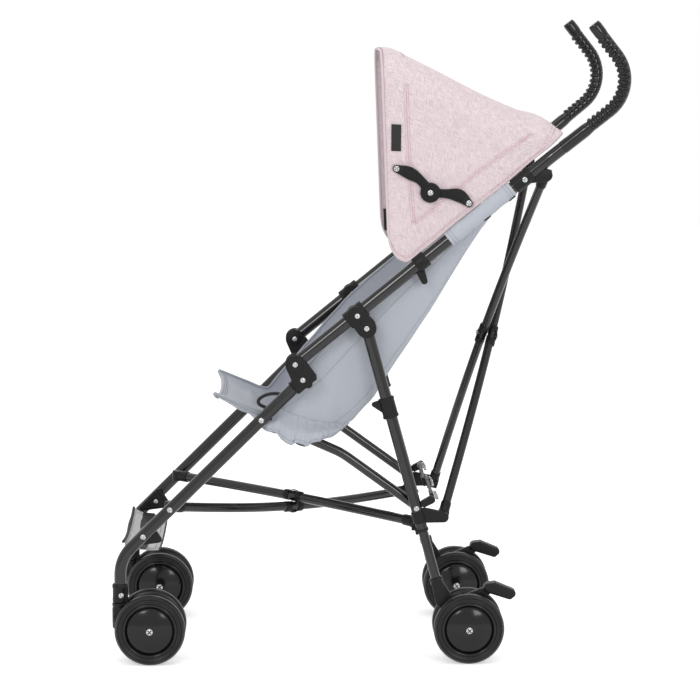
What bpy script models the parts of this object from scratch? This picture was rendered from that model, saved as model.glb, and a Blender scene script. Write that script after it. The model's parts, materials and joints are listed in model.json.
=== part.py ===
"""Lightweight stroller: folding tube frame, twin wheels, sling seat and hood.

Metres, +Z up. Forward is -X, the left side frame is at -Y and the right one at +Y.
Side-view points are (x, z) pairs in the plane of one side frame.
"""
import bpy
import bmesh
import math
from mathutils import Matrix, Vector

# Side view: the pivots and line ends of one side frame
SIDE = 0.180            # half the distance between the two side frames
TUBE_PIVOT = (-0.1235, 0.4970)     # front leg to handle tube
LEG_SCREW = (-0.1110, 0.4714)      # where the front leg is screwed to its bracket
TUBE_ANGLE = math.radians(39.0)    # rise of the handle tube
LEG_ANGLE = math.radians(44.6)     # slope of the front leg
REAR_LEAN = math.radians(15.4)     # rear leg from upright
REAR_PIVOT = (-0.0065, 0.5562)     # rear leg to handle tube bracket
STRUT_FRONT = (-0.1793, 0.4042)
STRUT_BEND = (-0.0464, 0.3457)
STRUT_REAR = (0.0762, 0.2563)
BRACE_FRONT = (-0.3306, 0.2555)    # bottom cross tubes, front ends
BRACE_REAR = (0.0770, 0.2280)      # bottom cross tubes, rear ends
BRACE_SAG = 0.005
BACK_TOP = (0.2865, 0.8058)        # rear cross tubes, top ends
BACK_FOOT = (0.1210, 0.2410)       # rear cross tubes, bottom ends
CASTER_X = -0.4137                 # swivel line of a front wheel set
FRONT_AXLE_X = -0.3640
REAR_AXLE_X = 0.1625
LOCK_POINT = (0.1005, 0.2700)      # spreader link pivots behind the rear legs

# Tubes
HANDLE_R = 0.0105
LEG_R = 0.0100
REAR_R = 0.0095
LOWER_R = 0.0080
STRUT_R = 0.0080
BRACE_R = 0.0080
BACK_R = 0.0072
LEG_BEND_R = 0.065
LEG_END_Z = 0.1050
HANDLE_SPREAD = 0.030      # how far the handles stand out past the side frame
HANDLE_TUBE_END_X = 0.3300
GRIP_CORE_R = 0.0102
GRIP_SLEEVE_R = 0.0132
GRIP_RIB = 0.0009
GRIP_RIBS = 18
GRIP_SOCKET = 0.022
GRIP_APEX = (0.4178, 0.9640)
GRIP_TIP = (0.3620, 1.0490)
GRIP_BEND_R = 0.052
REAR_TUBE_END_Z = 0.2190   # the rear leg's outer tube ends here
LOWER_END_Z = 0.1010
LOWER_INSERT = 0.022

# Wheels
WHEEL_R = 0.0590
WHEEL_W = 0.0220
WHEEL_OFF = 0.0270         # wheel middle from the side frame plane
HUB_CAP_R = 0.0385
AXLE_R = 0.0040
HOUSING_W = 0.0290

# Brackets
BRACKET_W = 0.0300
BRACKET_R = 0.0162
CHEEK_SLOT = 0.0222
SLOT_R = 0.0156
PIN_R = 0.0035
PIN_HEAD = 0.0012           # a pivot pin stands this far out of its cheeks
LUG_T = 0.0120
EYE_R = 0.0102
EYE_H = 0.0180
CLIP_R = 0.0138
YOKE_T = 0.0030             # wall of the swivel yokes at the bottom cross tubes' rear ends
YOKE_W = 0.0150
JAW_R = 0.0070
STUB_R = 0.0060

# Clearances
GAP = 0.0003
SLIDE_GAP = 0.0004
SWING_GAP = 0.0006

# Soft goods
CLOTH_T = 0.0040
HOOD_T = 0.0030

# Facets
TUBE_SIDES = 12
GRIP_SIDES = 8
WHEEL_STEPS = 20
AXLE_Z = WHEEL_R * math.cos(math.pi / WHEEL_STEPS)   # a flat of the tread rests on the ground

LEFT, RIGHT = -1, 1
NAMES = {LEFT: "left", RIGHT: "right"}

for old in list(bpy.data.objects):
    bpy.data.objects.remove(old, do_unlink=True)
stroller = bpy.data.collections.new("lightweight_stroller")
cutters = bpy.data.collections.new("cutters")
bpy.context.scene.collection.children.link(stroller)
bpy.context.scene.collection.children.link(cutters)


def material(name, colour, roughness, metallic=0.0):
    made = bpy.data.materials.new(name)
    made.use_nodes = True
    shader = made.node_tree.nodes["Principled BSDF"]
    shader.inputs["Base Color"].default_value = (*colour, 1.0)
    shader.inputs["Roughness"].default_value = roughness
    shader.inputs["Metallic"].default_value = metallic
    return made


FRAME_BLACK = material("frame_black", (0.020, 0.020, 0.022), 0.32, 0.6)
PLASTIC = material("moulded_black", (0.028, 0.028, 0.031), 0.50)
GRIP_FOAM = material("grip_rubber", (0.025, 0.025, 0.027), 0.70)
TYRE = material("tyre_and_hub", (0.030, 0.030, 0.034), 0.45)
ZINC = material("zinc_rivet", (0.75, 0.75, 0.74), 0.30, 0.9)
SEAT_CLOTH = material("seat_cloth", (0.40, 0.42, 0.47), 0.85)
HOOD_CLOTH = material("hood_cloth", (0.72, 0.56, 0.61), 0.85)
STRAP_GREY = material("foot_strap", (0.55, 0.55, 0.54), 0.70)


def along(angle):
    """Unit side-view direction rising rearwards at this angle."""
    return Vector((math.cos(angle), 0.0, math.sin(angle)))


def side_point(point, y=0.0):
    return Vector((point[0], y, point[1]))


def keep(obj, mat, owner=stroller):
    owner.objects.link(obj)
    if mat is not None:
        obj.data.materials.clear()
        obj.data.materials.append(mat)
    if owner is cutters:
        obj.hide_render = True
        obj.display_type = "WIRE"
    return obj


def mesh_object(name, bm, mat=None, owner=stroller):
    data = bpy.data.meshes.new(name)
    bm.to_mesh(data)
    bm.free()
    return keep(bpy.data.objects.new(name, data), mat, owner)


def bend(points, radius, steps=6):
    """Round the inner corners of a path with arcs of this radius."""
    path = [Vector(points[0])]
    for before, corner, after in zip(points, points[1:], points[2:]):
        before, corner, after = Vector(before), Vector(corner), Vector(after)
        to_a = (before - corner).normalized()
        to_b = (after - corner).normalized()
        half = to_a.angle(to_b) / 2
        reach = radius / math.tan(half)
        centre = corner + (to_a + to_b).normalized() * radius / math.sin(half)
        first = corner + to_a * reach - centre
        last = corner + to_b * reach - centre
        sweep = first.angle(last)
        axis = first.cross(last).normalized()
        for i in range(steps + 1):
            path.append(centre + Matrix.Rotation(sweep * i / steps, 3, axis) @ first)
    path.append(Vector(points[-1]))
    return path


def swept(name, path, radius, mat=None, owner=stroller, sides=TUBE_SIDES, scales=None):
    """A round bar along the path, as one closed mesh."""
    curve = bpy.data.curves.new(name, "CURVE")
    curve.dimensions = "3D"
    curve.bevel_depth = radius
    curve.bevel_resolution = (sides - 4) // 2
    curve.use_fill_caps = True
    spline = curve.splines.new("POLY")
    spline.points.add(len(path) - 1)
    for i, (point, place) in enumerate(zip(spline.points, path)):
        point.co = (*place, 1.0)
        if scales:
            point.radius = scales[i]
    holder = bpy.data.objects.new(name + "_path", curve)
    bpy.context.scene.collection.objects.link(holder)
    bpy.context.view_layer.update()
    evaluated = holder.evaluated_get(bpy.context.evaluated_depsgraph_get())
    data = bpy.data.meshes.new_from_object(evaluated)
    data.name = name
    matrix = holder.matrix_world.copy()
    bpy.data.objects.remove(holder, do_unlink=True)
    bm = bmesh.new()
    bm.from_mesh(data)
    bmesh.ops.remove_doubles(bm, verts=bm.verts, dist=0.00001)
    bmesh.ops.recalc_face_normals(bm, faces=bm.faces)
    bm.to_mesh(data)
    bm.free()
    obj = keep(bpy.data.objects.new(name, data), mat, owner)
    obj.matrix_world = matrix
    data.shade_smooth()
    data.set_sharp_from_angle(angle=math.radians(40))
    return obj


def rod(name, start, end, radius, mat=None, owner=stroller, sides=16):
    """A straight cylinder from one point to another."""
    start, end = Vector(start), Vector(end)
    bm = bmesh.new()
    bmesh.ops.create_cone(bm, cap_ends=True, segments=sides, radius1=radius, radius2=radius,
                          depth=(end - start).length)
    turn = Vector((0, 0, 1)).rotation_difference(end - start).to_matrix().to_4x4()
    bm.transform(Matrix.Translation((start + end) / 2) @ turn)
    return mesh_object(name, bm, mat, owner)


def hull(circles, steps=14):
    """Outline that wraps circles given as ((x, z), radius), like a belt."""
    cloud = []
    for (x, z), radius in circles:
        for i in range(steps):
            turn = 2 * math.pi * i / steps
            cloud.append((x + radius * math.cos(turn), z + radius * math.sin(turn)))
    cloud = sorted(set(cloud))

    def half(points):
        chain = []
        for p in points:
            while len(chain) > 1 and (
                (chain[-1][0] - chain[-2][0]) * (p[1] - chain[-2][1])
                - (chain[-1][1] - chain[-2][1]) * (p[0] - chain[-2][0])
            ) <= 1e-12:
                chain.pop()
            chain.append(p)
        return chain[:-1]

    return half(cloud) + half(cloud[::-1])


def plate(name, outline, y_low, y_high, mat=None, owner=stroller):
    """A side-view outline given thickness from y_low to y_high."""
    bm = bmesh.new()
    low = [bm.verts.new((x, y_low, z)) for x, z in outline]
    face = bm.faces.new(low)
    raised = bmesh.ops.extrude_face_region(bm, geom=[face])
    moved = [v for v in raised["geom"] if isinstance(v, bmesh.types.BMVert)]
    bmesh.ops.translate(bm, verts=moved, vec=(0, y_high - y_low, 0))
    bmesh.ops.recalc_face_normals(bm, faces=bm.faces)
    return mesh_object(name, bm, mat, owner)


def combine(obj, other, operation):
    change = obj.modifiers.new(operation.lower() + "_" + other.name, "BOOLEAN")
    change.operation = operation
    change.object = other
    return obj


def cut(obj, other):
    return combine(obj, other, "DIFFERENCE")


def join(obj, other):
    return combine(obj, other, "UNION")


def rounded(obj, width, segments=1):
    soft = obj.modifiers.new("soft_edges", "BEVEL")
    soft.width = width
    soft.segments = segments
    soft.limit_method = "ANGLE"
    soft.angle_limit = math.radians(50)
    return obj


TUBE_DIR = along(TUBE_ANGLE)
LEG_DIR = along(LEG_ANGLE)
REAR_DIR = Vector((-math.sin(REAR_LEAN), 0.0, math.cos(REAR_LEAN)))   # up the rear leg


def on_tube(x):
    """Point of the handle tube's straight middle line at this x."""
    run = x - TUBE_PIVOT[0]
    return (x, TUBE_PIVOT[1] + run * math.tan(TUBE_ANGLE))


def on_rear(z):
    """Point of the rear leg's middle line at this height."""
    return (REAR_PIVOT[0] + (REAR_PIVOT[1] - z) * math.tan(REAR_LEAN), z)


def behind_rear(z, back):
    """Point this far behind the rear leg's middle line, square to the leg."""
    x, height = on_rear(z)
    return (x + back * math.cos(REAR_LEAN), height + back * math.sin(REAR_LEAN))


def pin_through(name, point, y, half_width, radius=PIN_R, owner=cutters):
    start = side_point(point, y - half_width)
    end = side_point(point, y + half_width)
    return rod(name, start, end, radius, None, owner)


# Handle tube and grip
SPREAD_START_X = 0.2950


def handle_line(s):
    """Route of the handle tube's middle line, from its lower end to the grip's tip."""
    foot = side_point(TUBE_PIVOT, s * SIDE) - TUBE_DIR * 0.0100
    splay = side_point(on_tube(SPREAD_START_X), s * SIDE)
    corner_run = GRIP_APEX[0] + 0.0188
    corner = side_point(on_tube(corner_run), s * (SIDE + HANDLE_SPREAD))
    tip = side_point(GRIP_TIP, s * (SIDE + HANDLE_SPREAD))
    return foot, splay, corner, tip


def handle_tube(s):
    side = NAMES[s]
    foot, splay, corner, tip = handle_line(s)
    run = (HANDLE_TUBE_END_X - splay.x) / (corner.x - splay.x)
    end = splay.lerp(corner, run)
    tube = swept(side + "_handle_tube", [foot, splay, end], HANDLE_R, FRAME_BLACK)
    cut(tube, pin_through(side + "_tube_pin_hole", TUBE_PIVOT, s * SIDE, 0.03, PIN_R + SLIDE_GAP))
    return tube


def grip(s):
    """J-shaped grip: a plain socket sleeve, then ribs all round the bend, then a plain end."""
    side = NAMES[s]
    _, splay, corner, tip = handle_line(s)
    run = (HANDLE_TUBE_END_X - splay.x) / (corner.x - splay.x)
    seat = splay.lerp(corner, run)
    axis = (corner - splay).normalized()
    start = seat - axis * GRIP_SOCKET
    path = bend([start, corner, tip], GRIP_BEND_R, 10)
    lengths = [0.0]
    for a, b in zip(path, path[1:]):
        lengths.append(lengths[-1] + (b - a).length)
    total = lengths[-1]

    def at(distance):
        for i in range(1, len(path)):
            if distance <= lengths[i]:
                part = (distance - lengths[i - 1]) / (lengths[i] - lengths[i - 1])
                return path[i - 1].lerp(path[i], part)
        return path[-1].copy()

    sleeve_end = GRIP_SOCKET * 2.4
    plain_end = total - 0.030
    marks = [(0.0, GRIP_SLEEVE_R), (sleeve_end - 0.003, GRIP_SLEEVE_R), (sleeve_end, GRIP_CORE_R)]
    pitch = (plain_end - sleeve_end) / GRIP_RIBS
    for i in range(GRIP_RIBS):
        base = sleeve_end + pitch * i
        marks.append((base + pitch * 0.55, GRIP_CORE_R + GRIP_RIB))
        marks.append((base + pitch * 0.98, GRIP_CORE_R - GRIP_RIB * 0.3))
    marks.append((total - 0.003, GRIP_CORE_R))
    marks.append((total, GRIP_CORE_R - 0.002))
    body = swept(side + "_grip", [at(d) for d, _ in marks], GRIP_CORE_R, GRIP_FOAM,
                 sides=GRIP_SIDES, scales=[r / GRIP_CORE_R for _, r in marks])
    hole = rod(side + "_grip_socket", start - axis * 0.01, seat + axis * GAP,
               HANDLE_R / math.cos(math.pi / TUBE_SIDES) + SLIDE_GAP, None, cutters, 24)
    return cut(body, hole)


# Brackets on the side frame
def lower_bracket(s):
    """Holds the front leg's top; its two cheeks carry the handle tube's lower end."""
    side = NAMES[s]
    y = s * SIDE
    corner = (LEG_SCREW[0] + 0.009, LEG_SCREW[1] - 0.007)
    outline = hull([(TUBE_PIVOT, BRACKET_R), (LEG_SCREW, 0.0150), (corner, 0.0080)])
    body = plate(side + "_lower_bracket", outline, y - BRACKET_W / 2, y + BRACKET_W / 2, PLASTIC)
    rounded(body, 0.0015)
    far = 0.060
    sweep = [(TUBE_PIVOT, SLOT_R)]
    for turn in (TUBE_ANGLE, TUBE_ANGLE + math.radians(40), TUBE_ANGLE + math.radians(70)):
        away = along(turn) * far
        sweep.append(((TUBE_PIVOT[0] + away.x, TUBE_PIVOT[1] + away.z), SLOT_R))
    slot = plate(side + "_lower_slot", hull(sweep), y - CHEEK_SLOT / 2, y + CHEEK_SLOT / 2, None,
                 cutters)
    cut(body, slot)
    top = side_point(LEG_SCREW, y) + LEG_DIR * 0.0105
    bore = rod(side + "_leg_bore", top, top - LEG_DIR * 0.09, LEG_R + SLIDE_GAP, None, cutters, 24)
    cut(body, bore)
    return join(body, pin_through(side + "_tube_pin", TUBE_PIVOT, y, BRACKET_W / 2 + PIN_HEAD))


def front_leg(s):
    y = s * SIDE
    top = side_point(LEG_SCREW, y) + LEG_DIR * 0.0100
    fall = (LEG_SCREW[0] - CASTER_X) * math.tan(LEG_ANGLE)
    knee = Vector((CASTER_X, y, LEG_SCREW[1] - fall))
    foot = Vector((CASTER_X, y, LEG_END_Z))
    path = bend([top, knee, foot], LEG_BEND_R, 7)
    leg = swept(NAMES[s] + "_front_leg", path, LEG_R, FRAME_BLACK)
    join(leg, rod(NAMES[s] + "_brace_stub", side_point(BRACE_FRONT, y),
                  side_point(BRACE_FRONT, s * (BRACE_Y + EYE_R + SLIDE_GAP)), STUB_R, None, cutters))
    cut(leg, pin_through(NAMES[s] + "_strut_hole", STRUT_FRONT, y, 0.02, PIN_R - 0.0008))
    return leg


def mid_bracket(s):
    """Clamps the handle tube; its two cheeks carry the rear leg's top."""
    side = NAMES[s]
    y = s * SIDE
    rise = Vector((-math.sin(TUBE_ANGLE), 0, math.cos(TUBE_ANGLE)))
    reach = (side_point(on_tube(REAR_PIVOT[0])) - side_point(REAR_PIVOT)).dot(rise)
    grip_at = side_point(REAR_PIVOT) + rise * reach
    clamp = (grip_at.x, grip_at.z)
    outline = hull([(clamp, BRACKET_R), (REAR_PIVOT, BRACKET_R)])
    body = plate(side + "_mid_bracket", outline, y - BRACKET_W / 2, y + BRACKET_W / 2, PLASTIC)
    rounded(body, 0.0015)
    centre = side_point(clamp, y)
    bore = rod(side + "_mid_bore", centre - TUBE_DIR * 0.05, centre + TUBE_DIR * 0.05,
               HANDLE_R + SLIDE_GAP, None, cutters, 24)
    cut(body, bore)
    sweep = [(REAR_PIVOT, SLOT_R)]
    for turn in (-math.pi / 2 + REAR_LEAN, -math.pi / 2 - math.radians(20)):
        away = along(turn) * 0.060
        sweep.append(((REAR_PIVOT[0] + away.x, REAR_PIVOT[1] + away.z), SLOT_R))
    slot = plate(side + "_mid_slot", hull(sweep), y - CHEEK_SLOT / 2, y + CHEEK_SLOT / 2, None,
                 cutters)
    cut(body, slot)
    return join(body, pin_through(side + "_rear_pin", REAR_PIVOT, y, BRACKET_W / 2 + PIN_HEAD))


def rear_leg(s):
    side = NAMES[s]
    y = s * SIDE
    top = side_point(REAR_PIVOT, y) + REAR_DIR * 0.0100
    foot = side_point(on_rear(REAR_TUBE_END_Z), y)
    leg = swept(side + "_rear_leg", [top, foot], REAR_R, FRAME_BLACK)
    cut(leg, pin_through(side + "_rear_pin_hole", REAR_PIVOT, y, 0.02, PIN_R + SLIDE_GAP))
    bore = rod(side + "_lower_leg_bore", foot - REAR_DIR * 0.01,
               foot + REAR_DIR * (LOWER_INSERT + GAP), LOWER_R + SLIDE_GAP, None, cutters, 24)
    return cut(leg, bore)


def lower_leg(s):
    y = s * SIDE
    top = side_point(on_rear(REAR_TUBE_END_Z), y) + REAR_DIR * LOWER_INSERT
    foot = side_point(on_rear(LOWER_END_Z), y)
    return swept(NAMES[s] + "_rear_lower_leg", [top, foot], LOWER_R, FRAME_BLACK)


def upper_bracket(s):
    """Sleeve on the handle tube with a lug that carries the rear cross tube's top end."""
    side = NAMES[s]
    y = s * SIDE
    centre = side_point(on_tube(0.2480), y)
    body = rod(side + "_upper_bracket", centre - TUBE_DIR * 0.020, centre + TUBE_DIR * 0.020,
               0.0142, PLASTIC, stroller, 20)
    anchor = on_tube(0.2560)
    lug = plate(side + "_upper_lug", hull([(anchor, 0.0120), (BACK_TOP, EYE_R)]),
                y - LUG_T / 2, y + LUG_T / 2, None, cutters)
    join(body, lug)
    bore = rod(side + "_upper_bore", centre - TUBE_DIR * 0.06, centre + TUBE_DIR * 0.055,
               HANDLE_R + SLIDE_GAP, None, cutters, 24)
    return cut(body, bore)


def rear_joint(s):
    """Plate saddled on the back of the rear leg: lugs for the cross tube and the spreader."""
    side = NAMES[s]
    y = s * SIDE
    body = plate(side + "_rear_joint", hull([(behind_rear(BACK_FOOT[1] + 0.010, 0.010), 0.0085),
                                             (behind_rear(BACK_FOOT[1] - 0.008, 0.010), 0.0085),
                                             (BACK_FOOT, EYE_R)]),
                 y - LUG_T / 2, y + LUG_T / 2, PLASTIC)
    ear = plate(side + "_lock_ear", hull([(behind_rear(LOCK_POINT[1] - 0.010, 0.012), 0.0080),
                                          (LOCK_POINT, 0.0065)]),
                y - LUG_T / 2, y + LUG_T / 2, None, cutters)
    join(body, ear)
    centre = side_point(on_rear(BACK_FOOT[1]), y)
    bore = rod(side + "_rear_joint_bore", centre - REAR_DIR * 0.06, centre + REAR_DIR * 0.06,
               REAR_R + SLIDE_GAP, None, cutters, 24)
    return cut(body, bore)


def leg_sleeve(s):
    """Moulded guide on the rear leg with a small lug towards the seat."""
    side = NAMES[s]
    y = s * SIDE
    centre = side_point(on_rear(0.4240), y)
    body = rod(side + "_leg_sleeve", centre - REAR_DIR * 0.017, centre + REAR_DIR * 0.017,
               0.0130, PLASTIC, stroller, 20)
    lug = plate(side + "_sleeve_lug", hull([(on_rear(0.4330), 0.0070), (on_rear(0.4150), 0.0070),
                                            ((0.0060, 0.4290), 0.0040)]),
                y - 0.0030, y + 0.0030, None, cutters)
    join(body, lug)
    bore = rod(side + "_sleeve_bore", centre - REAR_DIR * 0.05, centre + REAR_DIR * 0.05,
               REAR_R + SLIDE_GAP, None, cutters, 24)
    return cut(body, bore)


def hood_clip(s):
    """Clamp on the handle tube with the tongue that holds the hood's lower corner."""
    side = NAMES[s]
    y = s * SIDE
    at = on_tube(0.0830)
    centre = side_point(at, y)
    body = rod(side + "_hood_clip", centre - TUBE_DIR * 0.011, centre + TUBE_DIR * 0.011,
               CLIP_R, PLASTIC, stroller, 20)
    tongue = plate(side + "_clip_tongue", hull([((at[0] - 0.004, at[1] - 0.008), 0.0080),
                                                ((0.0880, 0.6330), 0.0055)]),
                   y - 0.0045, y + 0.0045, None, cutters)
    join(body, tongue)
    bore = rod(side + "_clip_bore", centre - TUBE_DIR * 0.05, centre + TUBE_DIR * 0.05,
               HANDLE_R + SLIDE_GAP, None, cutters, 24)
    return cut(body, bore)


# Side strut, between the front and rear legs
STRUT_Y = SIDE - LEG_R - GAP - STRUT_R


def side_strut(s):
    y = s * STRUT_Y
    ends = [side_point(p, y) for p in (STRUT_FRONT, STRUT_BEND, STRUT_REAR)]
    strut = swept(NAMES[s] + "_side_strut", bend(ends, 0.12, 4), STRUT_R, FRAME_BLACK)
    for tag, point in (("front", STRUT_FRONT), ("rear", STRUT_REAR)):
        eye = rod(f"{NAMES[s]}_strut_{tag}_eye", side_point(point, y - STRUT_R),
                  side_point(point, y + STRUT_R), STRUT_R + 0.0006, None, cutters, 20)
        join(strut, eye)
    return strut


# Front wheel set
def caster_socket(s):
    """Moulded boot on the front leg's foot; the swivel stem turns under it."""
    side = NAMES[s]
    y = s * SIDE
    body = rod(side + "_caster_socket", (CASTER_X, y, LEG_END_Z - 0.0050),
               (CASTER_X, y, LEG_END_Z + 0.0260), 0.0130, PLASTIC, stroller, 20)
    rounded(body, 0.0012)
    bore = rod(side + "_foot_bore", (CASTER_X, y, LEG_END_Z - GAP), (CASTER_X, y, 0.2),
               LEG_R + SLIDE_GAP, None, cutters, 24)
    return cut(body, bore)


SWIVEL_TOP_Z = LEG_END_Z - 0.0050 - SWING_GAP


def caster(s):
    """Swivel housing: round head under the socket, arm back to the axle, axle across both wheels."""
    side = NAMES[s]
    y = s * SIDE
    head = rod(side + "_caster", (CASTER_X, y, 0.0560), (CASTER_X, y, SWIVEL_TOP_Z),
               0.0137, PLASTIC, stroller, 20)
    rounded(head, 0.0015)
    arm = plate(side + "_caster_arm",
                hull([((CASTER_X, 0.0780), 0.0120), ((FRONT_AXLE_X, AXLE_Z), 0.0125),
                      ((CASTER_X + 0.004, 0.0640), 0.0085)]),
                y - HOUSING_W / 2 + 0.0020, y + HOUSING_W / 2 - 0.0020, None, cutters)
    join(head, arm)
    axle = pin_through(side + "_front_axle", (FRONT_AXLE_X, AXLE_Z), y, AXLE_REACH, AXLE_R)
    return join(head, axle)


AXLE_REACH = WHEEL_OFF + WHEEL_W * 0.22


def wheel(name, x, y, outward):
    """Twin-set wheel: domed hub cap, ringed sidewall and crowned tread, bored from inside."""
    half = WHEEL_W / 2
    cap = HUB_CAP_R
    profile = [
        (0.0, half + 0.0030), (cap * 0.45, half + 0.0022), (cap * 0.82, half - 0.0010),
        (cap, half - 0.0045), (cap + 0.0015, half - 0.0048), (cap + 0.0040, half - 0.0012),
        (WHEEL_R - 0.0085, half), (WHEEL_R - 0.0020, half - 0.0025), (WHEEL_R, half - 0.0065),
        (WHEEL_R, -half + 0.0065), (WHEEL_R - 0.0020, -half + 0.0025), (WHEEL_R - 0.0085, -half),
        (cap + 0.0020, -half + 0.0010), (cap - 0.0010, -half + 0.0050), (0.0120, -half + 0.0040),
        (0.0095, -half - 0.0010), (AXLE_R + 0.0005, -half - 0.0010),
        (AXLE_R + 0.0005, AXLE_REACH - WHEEL_OFF + 0.0010), (0.0, AXLE_REACH - WHEEL_OFF + 0.0010),
    ]
    bm = bmesh.new()
    start = math.pi / WHEEL_STEPS
    row = [bm.verts.new((r * math.cos(start), r * math.sin(start), z)) for r, z in profile]
    for a, b in zip(row, row[1:]):
        bm.edges.new((a, b))
    obj = mesh_object(name, bm, TYRE)
    turn = obj.modifiers.new("turned", "SCREW")
    turn.axis = "Z"
    turn.angle = 2 * math.pi
    turn.steps = WHEEL_STEPS
    turn.render_steps = WHEEL_STEPS
    turn.use_merge_vertices = True
    turn.merge_threshold = 0.00005
    turn.use_normal_calculate = False
    obj.location = (x, y, AXLE_Z)
    obj.rotation_euler = (math.radians(90) * -outward, 0.0, 0.0)
    return obj


def wheel_set(s, end, x):
    for tag, offset in (("outer", WHEEL_OFF), ("inner", -WHEEL_OFF)):
        outward = s if tag == "outer" else -s
        wheel(f"{NAMES[s]}_{end}_wheel_{tag}", x, s * (SIDE + offset), outward)


# Rear wheel set
PEDAL_PIVOT = (0.1500, 0.1010)
PEDAL_T = 0.0110


def rear_housing(s):
    """Moulded foot of the rear leg: leg socket, axle, and the slot that carries the brake pedal."""
    side = NAMES[s]
    y = s * SIDE
    foot = on_rear(LOWER_END_Z)
    high = on_rear(LOWER_END_Z + 0.030)
    outline = hull([(high, 0.0125), (foot, 0.0130), (PEDAL_PIVOT, 0.0085),
                    ((REAR_AXLE_X, AXLE_Z), 0.0130)])
    body = plate(side + "_rear_housing", outline, y - HOUSING_W / 2 + 0.0012,
                 y + HOUSING_W / 2 - 0.0012, PLASTIC)
    rounded(body, 0.0015)
    bore = rod(side + "_foot_socket", side_point(foot, y) - REAR_DIR * GAP,
               side_point(foot, y) + REAR_DIR * 0.06, LOWER_R + SLIDE_GAP, None, cutters, 24)
    cut(body, bore)
    slot = plate(side + "_pedal_slot", hull([(PEDAL_PIVOT, 0.0098), ((0.1500, 0.1400), 0.0098),
                                             ((0.2000, 0.1150), 0.0098), ((0.2000, 0.0850), 0.005)]),
                 y - PEDAL_T / 2 - SWING_GAP, y + PEDAL_T / 2 + SWING_GAP, None, cutters)
    cut(body, slot)
    join(body, pin_through(side + "_pedal_pin", PEDAL_PIVOT, y, HOUSING_W / 2 - 0.002, 0.0028))
    axle = pin_through(side + "_rear_axle", (REAR_AXLE_X, AXLE_Z), y, AXLE_REACH, AXLE_R)
    return join(body, axle)


def brake_pedal(s):
    """Cranked lever that comes up between the twin wheels and ends in a blunt paddle."""
    side = NAMES[s]
    y = s * SIDE
    arm = plate(side + "_brake_pedal", hull([(PEDAL_PIVOT, 0.0080), ((0.1880, 0.1330), 0.0062)]),
                y - PEDAL_T / 2, y + PEDAL_T / 2, PLASTIC)
    paddle = plate(side + "_paddle", hull([((0.1900, 0.1340), 0.0068), ((0.2310, 0.1180), 0.0060)]),
                   y - 0.0125, y + 0.0125, None, cutters)
    join(arm, paddle)
    return cut(arm, pin_through(side + "_pedal_hole", PEDAL_PIVOT, y, 0.02, 0.0028 + SLIDE_GAP))


# Footrest
FOOT_POINTS = [(-0.3660, 0.2250), (-0.3950, 0.1960), (-0.3500, 0.2020)]
STRAP_FRONT = (-0.4080, 0.1960)
STRAP_MIDDLE = (-0.3800, 0.1850)
STRAP_REAR = (-0.3500, 0.1840)


def foot_bracket(s):
    """Moulded cheek on the inside of the front leg that carries the foot strap."""
    side = NAMES[s]
    inner = SIDE - LEG_R - SLIDE_GAP
    y_a, y_b = sorted((s * inner, s * (inner - 0.0090)))
    outline = hull([(FOOT_POINTS[0], 0.0060), (FOOT_POINTS[1], 0.0050), (FOOT_POINTS[2], 0.0050)])
    body = plate(side + "_foot_bracket", outline, y_a, y_b, PLASTIC)
    return rounded(body, 0.0012)


def foot_strap():
    """Soft footrest strip hanging between the two cheeks."""
    reach = SIDE - LEG_R - SLIDE_GAP - 0.0090 - GAP
    bm = bmesh.new()
    rows = []
    for i in range(9):
        y = -reach + 2 * reach * i / 8
        dip = 0.010 * (1 - (y / reach) ** 2)
        rows.append([bm.verts.new((x, y, z - dip)) for x, z in
                     (STRAP_FRONT, STRAP_MIDDLE, STRAP_REAR)])
    for a, b in zip(rows, rows[1:]):
        for i in range(2):
            bm.faces.new((a[i], a[i + 1], b[i + 1], b[i]))
    strap = mesh_object("foot_strap", bm, STRAP_GREY)
    wall = strap.modifiers.new("wall", "SOLIDIFY")
    wall.thickness = 0.0030
    wall.offset = 0.0
    return strap


# Cross tubes
def cross_tube(name, start, end, normal, bow, sag, radius):
    """A tube bowed to one side at its middle, with a round eye at each end."""
    start, end, normal = Vector(start), Vector(end), Vector(normal).normalized()
    path = []
    for i in range(9):
        part = i / 8
        lift = (bow - sag) * math.sin(math.pi * part)
        path.append(start.lerp(end, part) + normal * lift)
    tube = swept(name, path, radius, FRAME_BLACK)
    for tag, place in (("start", start), ("end", end)):
        eye = rod(f"{name}_{tag}_eye", place - normal * EYE_H / 2, place + normal * EYE_H / 2,
                  EYE_R, None, cutters, 16)
        join(tube, eye)
    return tube


def cross_pair(prefix, first_end, second_end, y_reach, bow, sag, radius):
    """Two crossed tubes and the rivet at their crossing; the left first-end tube is the A one."""
    run = Vector((second_end[0] - first_end[0], 0, second_end[1] - first_end[1])).normalized()
    normal = Vector((-run.z, 0, run.x))
    if normal.z < 0:
        normal = -normal
    a0, a1 = side_point(first_end, -y_reach), side_point(second_end, y_reach)
    b0, b1 = side_point(first_end, y_reach), side_point(second_end, -y_reach)
    tube_a = cross_tube(prefix + "_tube_a", a0, a1, normal, bow, sag, radius)
    tube_b = cross_tube(prefix + "_tube_b", b0, b1, normal, -bow, sag, radius)
    middle = (a0 + a1) / 2 - normal * sag
    hole = rod(prefix + "_pivot_hole", middle - normal * 0.04, middle + normal * 0.04,
               PIN_R + SLIDE_GAP, None, cutters, 16)
    cut(tube_a, hole)
    cut(tube_b, hole)
    reach = bow + radius
    pivot = rod(prefix + "_pivot", middle - normal * (reach + 0.003),
                middle + normal * (reach + 0.003), PIN_R, ZINC, stroller, 16)
    for tag, sign in (("top", 1), ("under", -1)):
        head = rod(f"{prefix}_{tag}_head", middle + normal * sign * (reach + GAP),
                   middle + normal * sign * (reach + 0.0040), PIN_R + 0.0040, None, cutters, 16)
        join(pivot, head)
    return normal, (tube_a, a0), (tube_b, b0)


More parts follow.
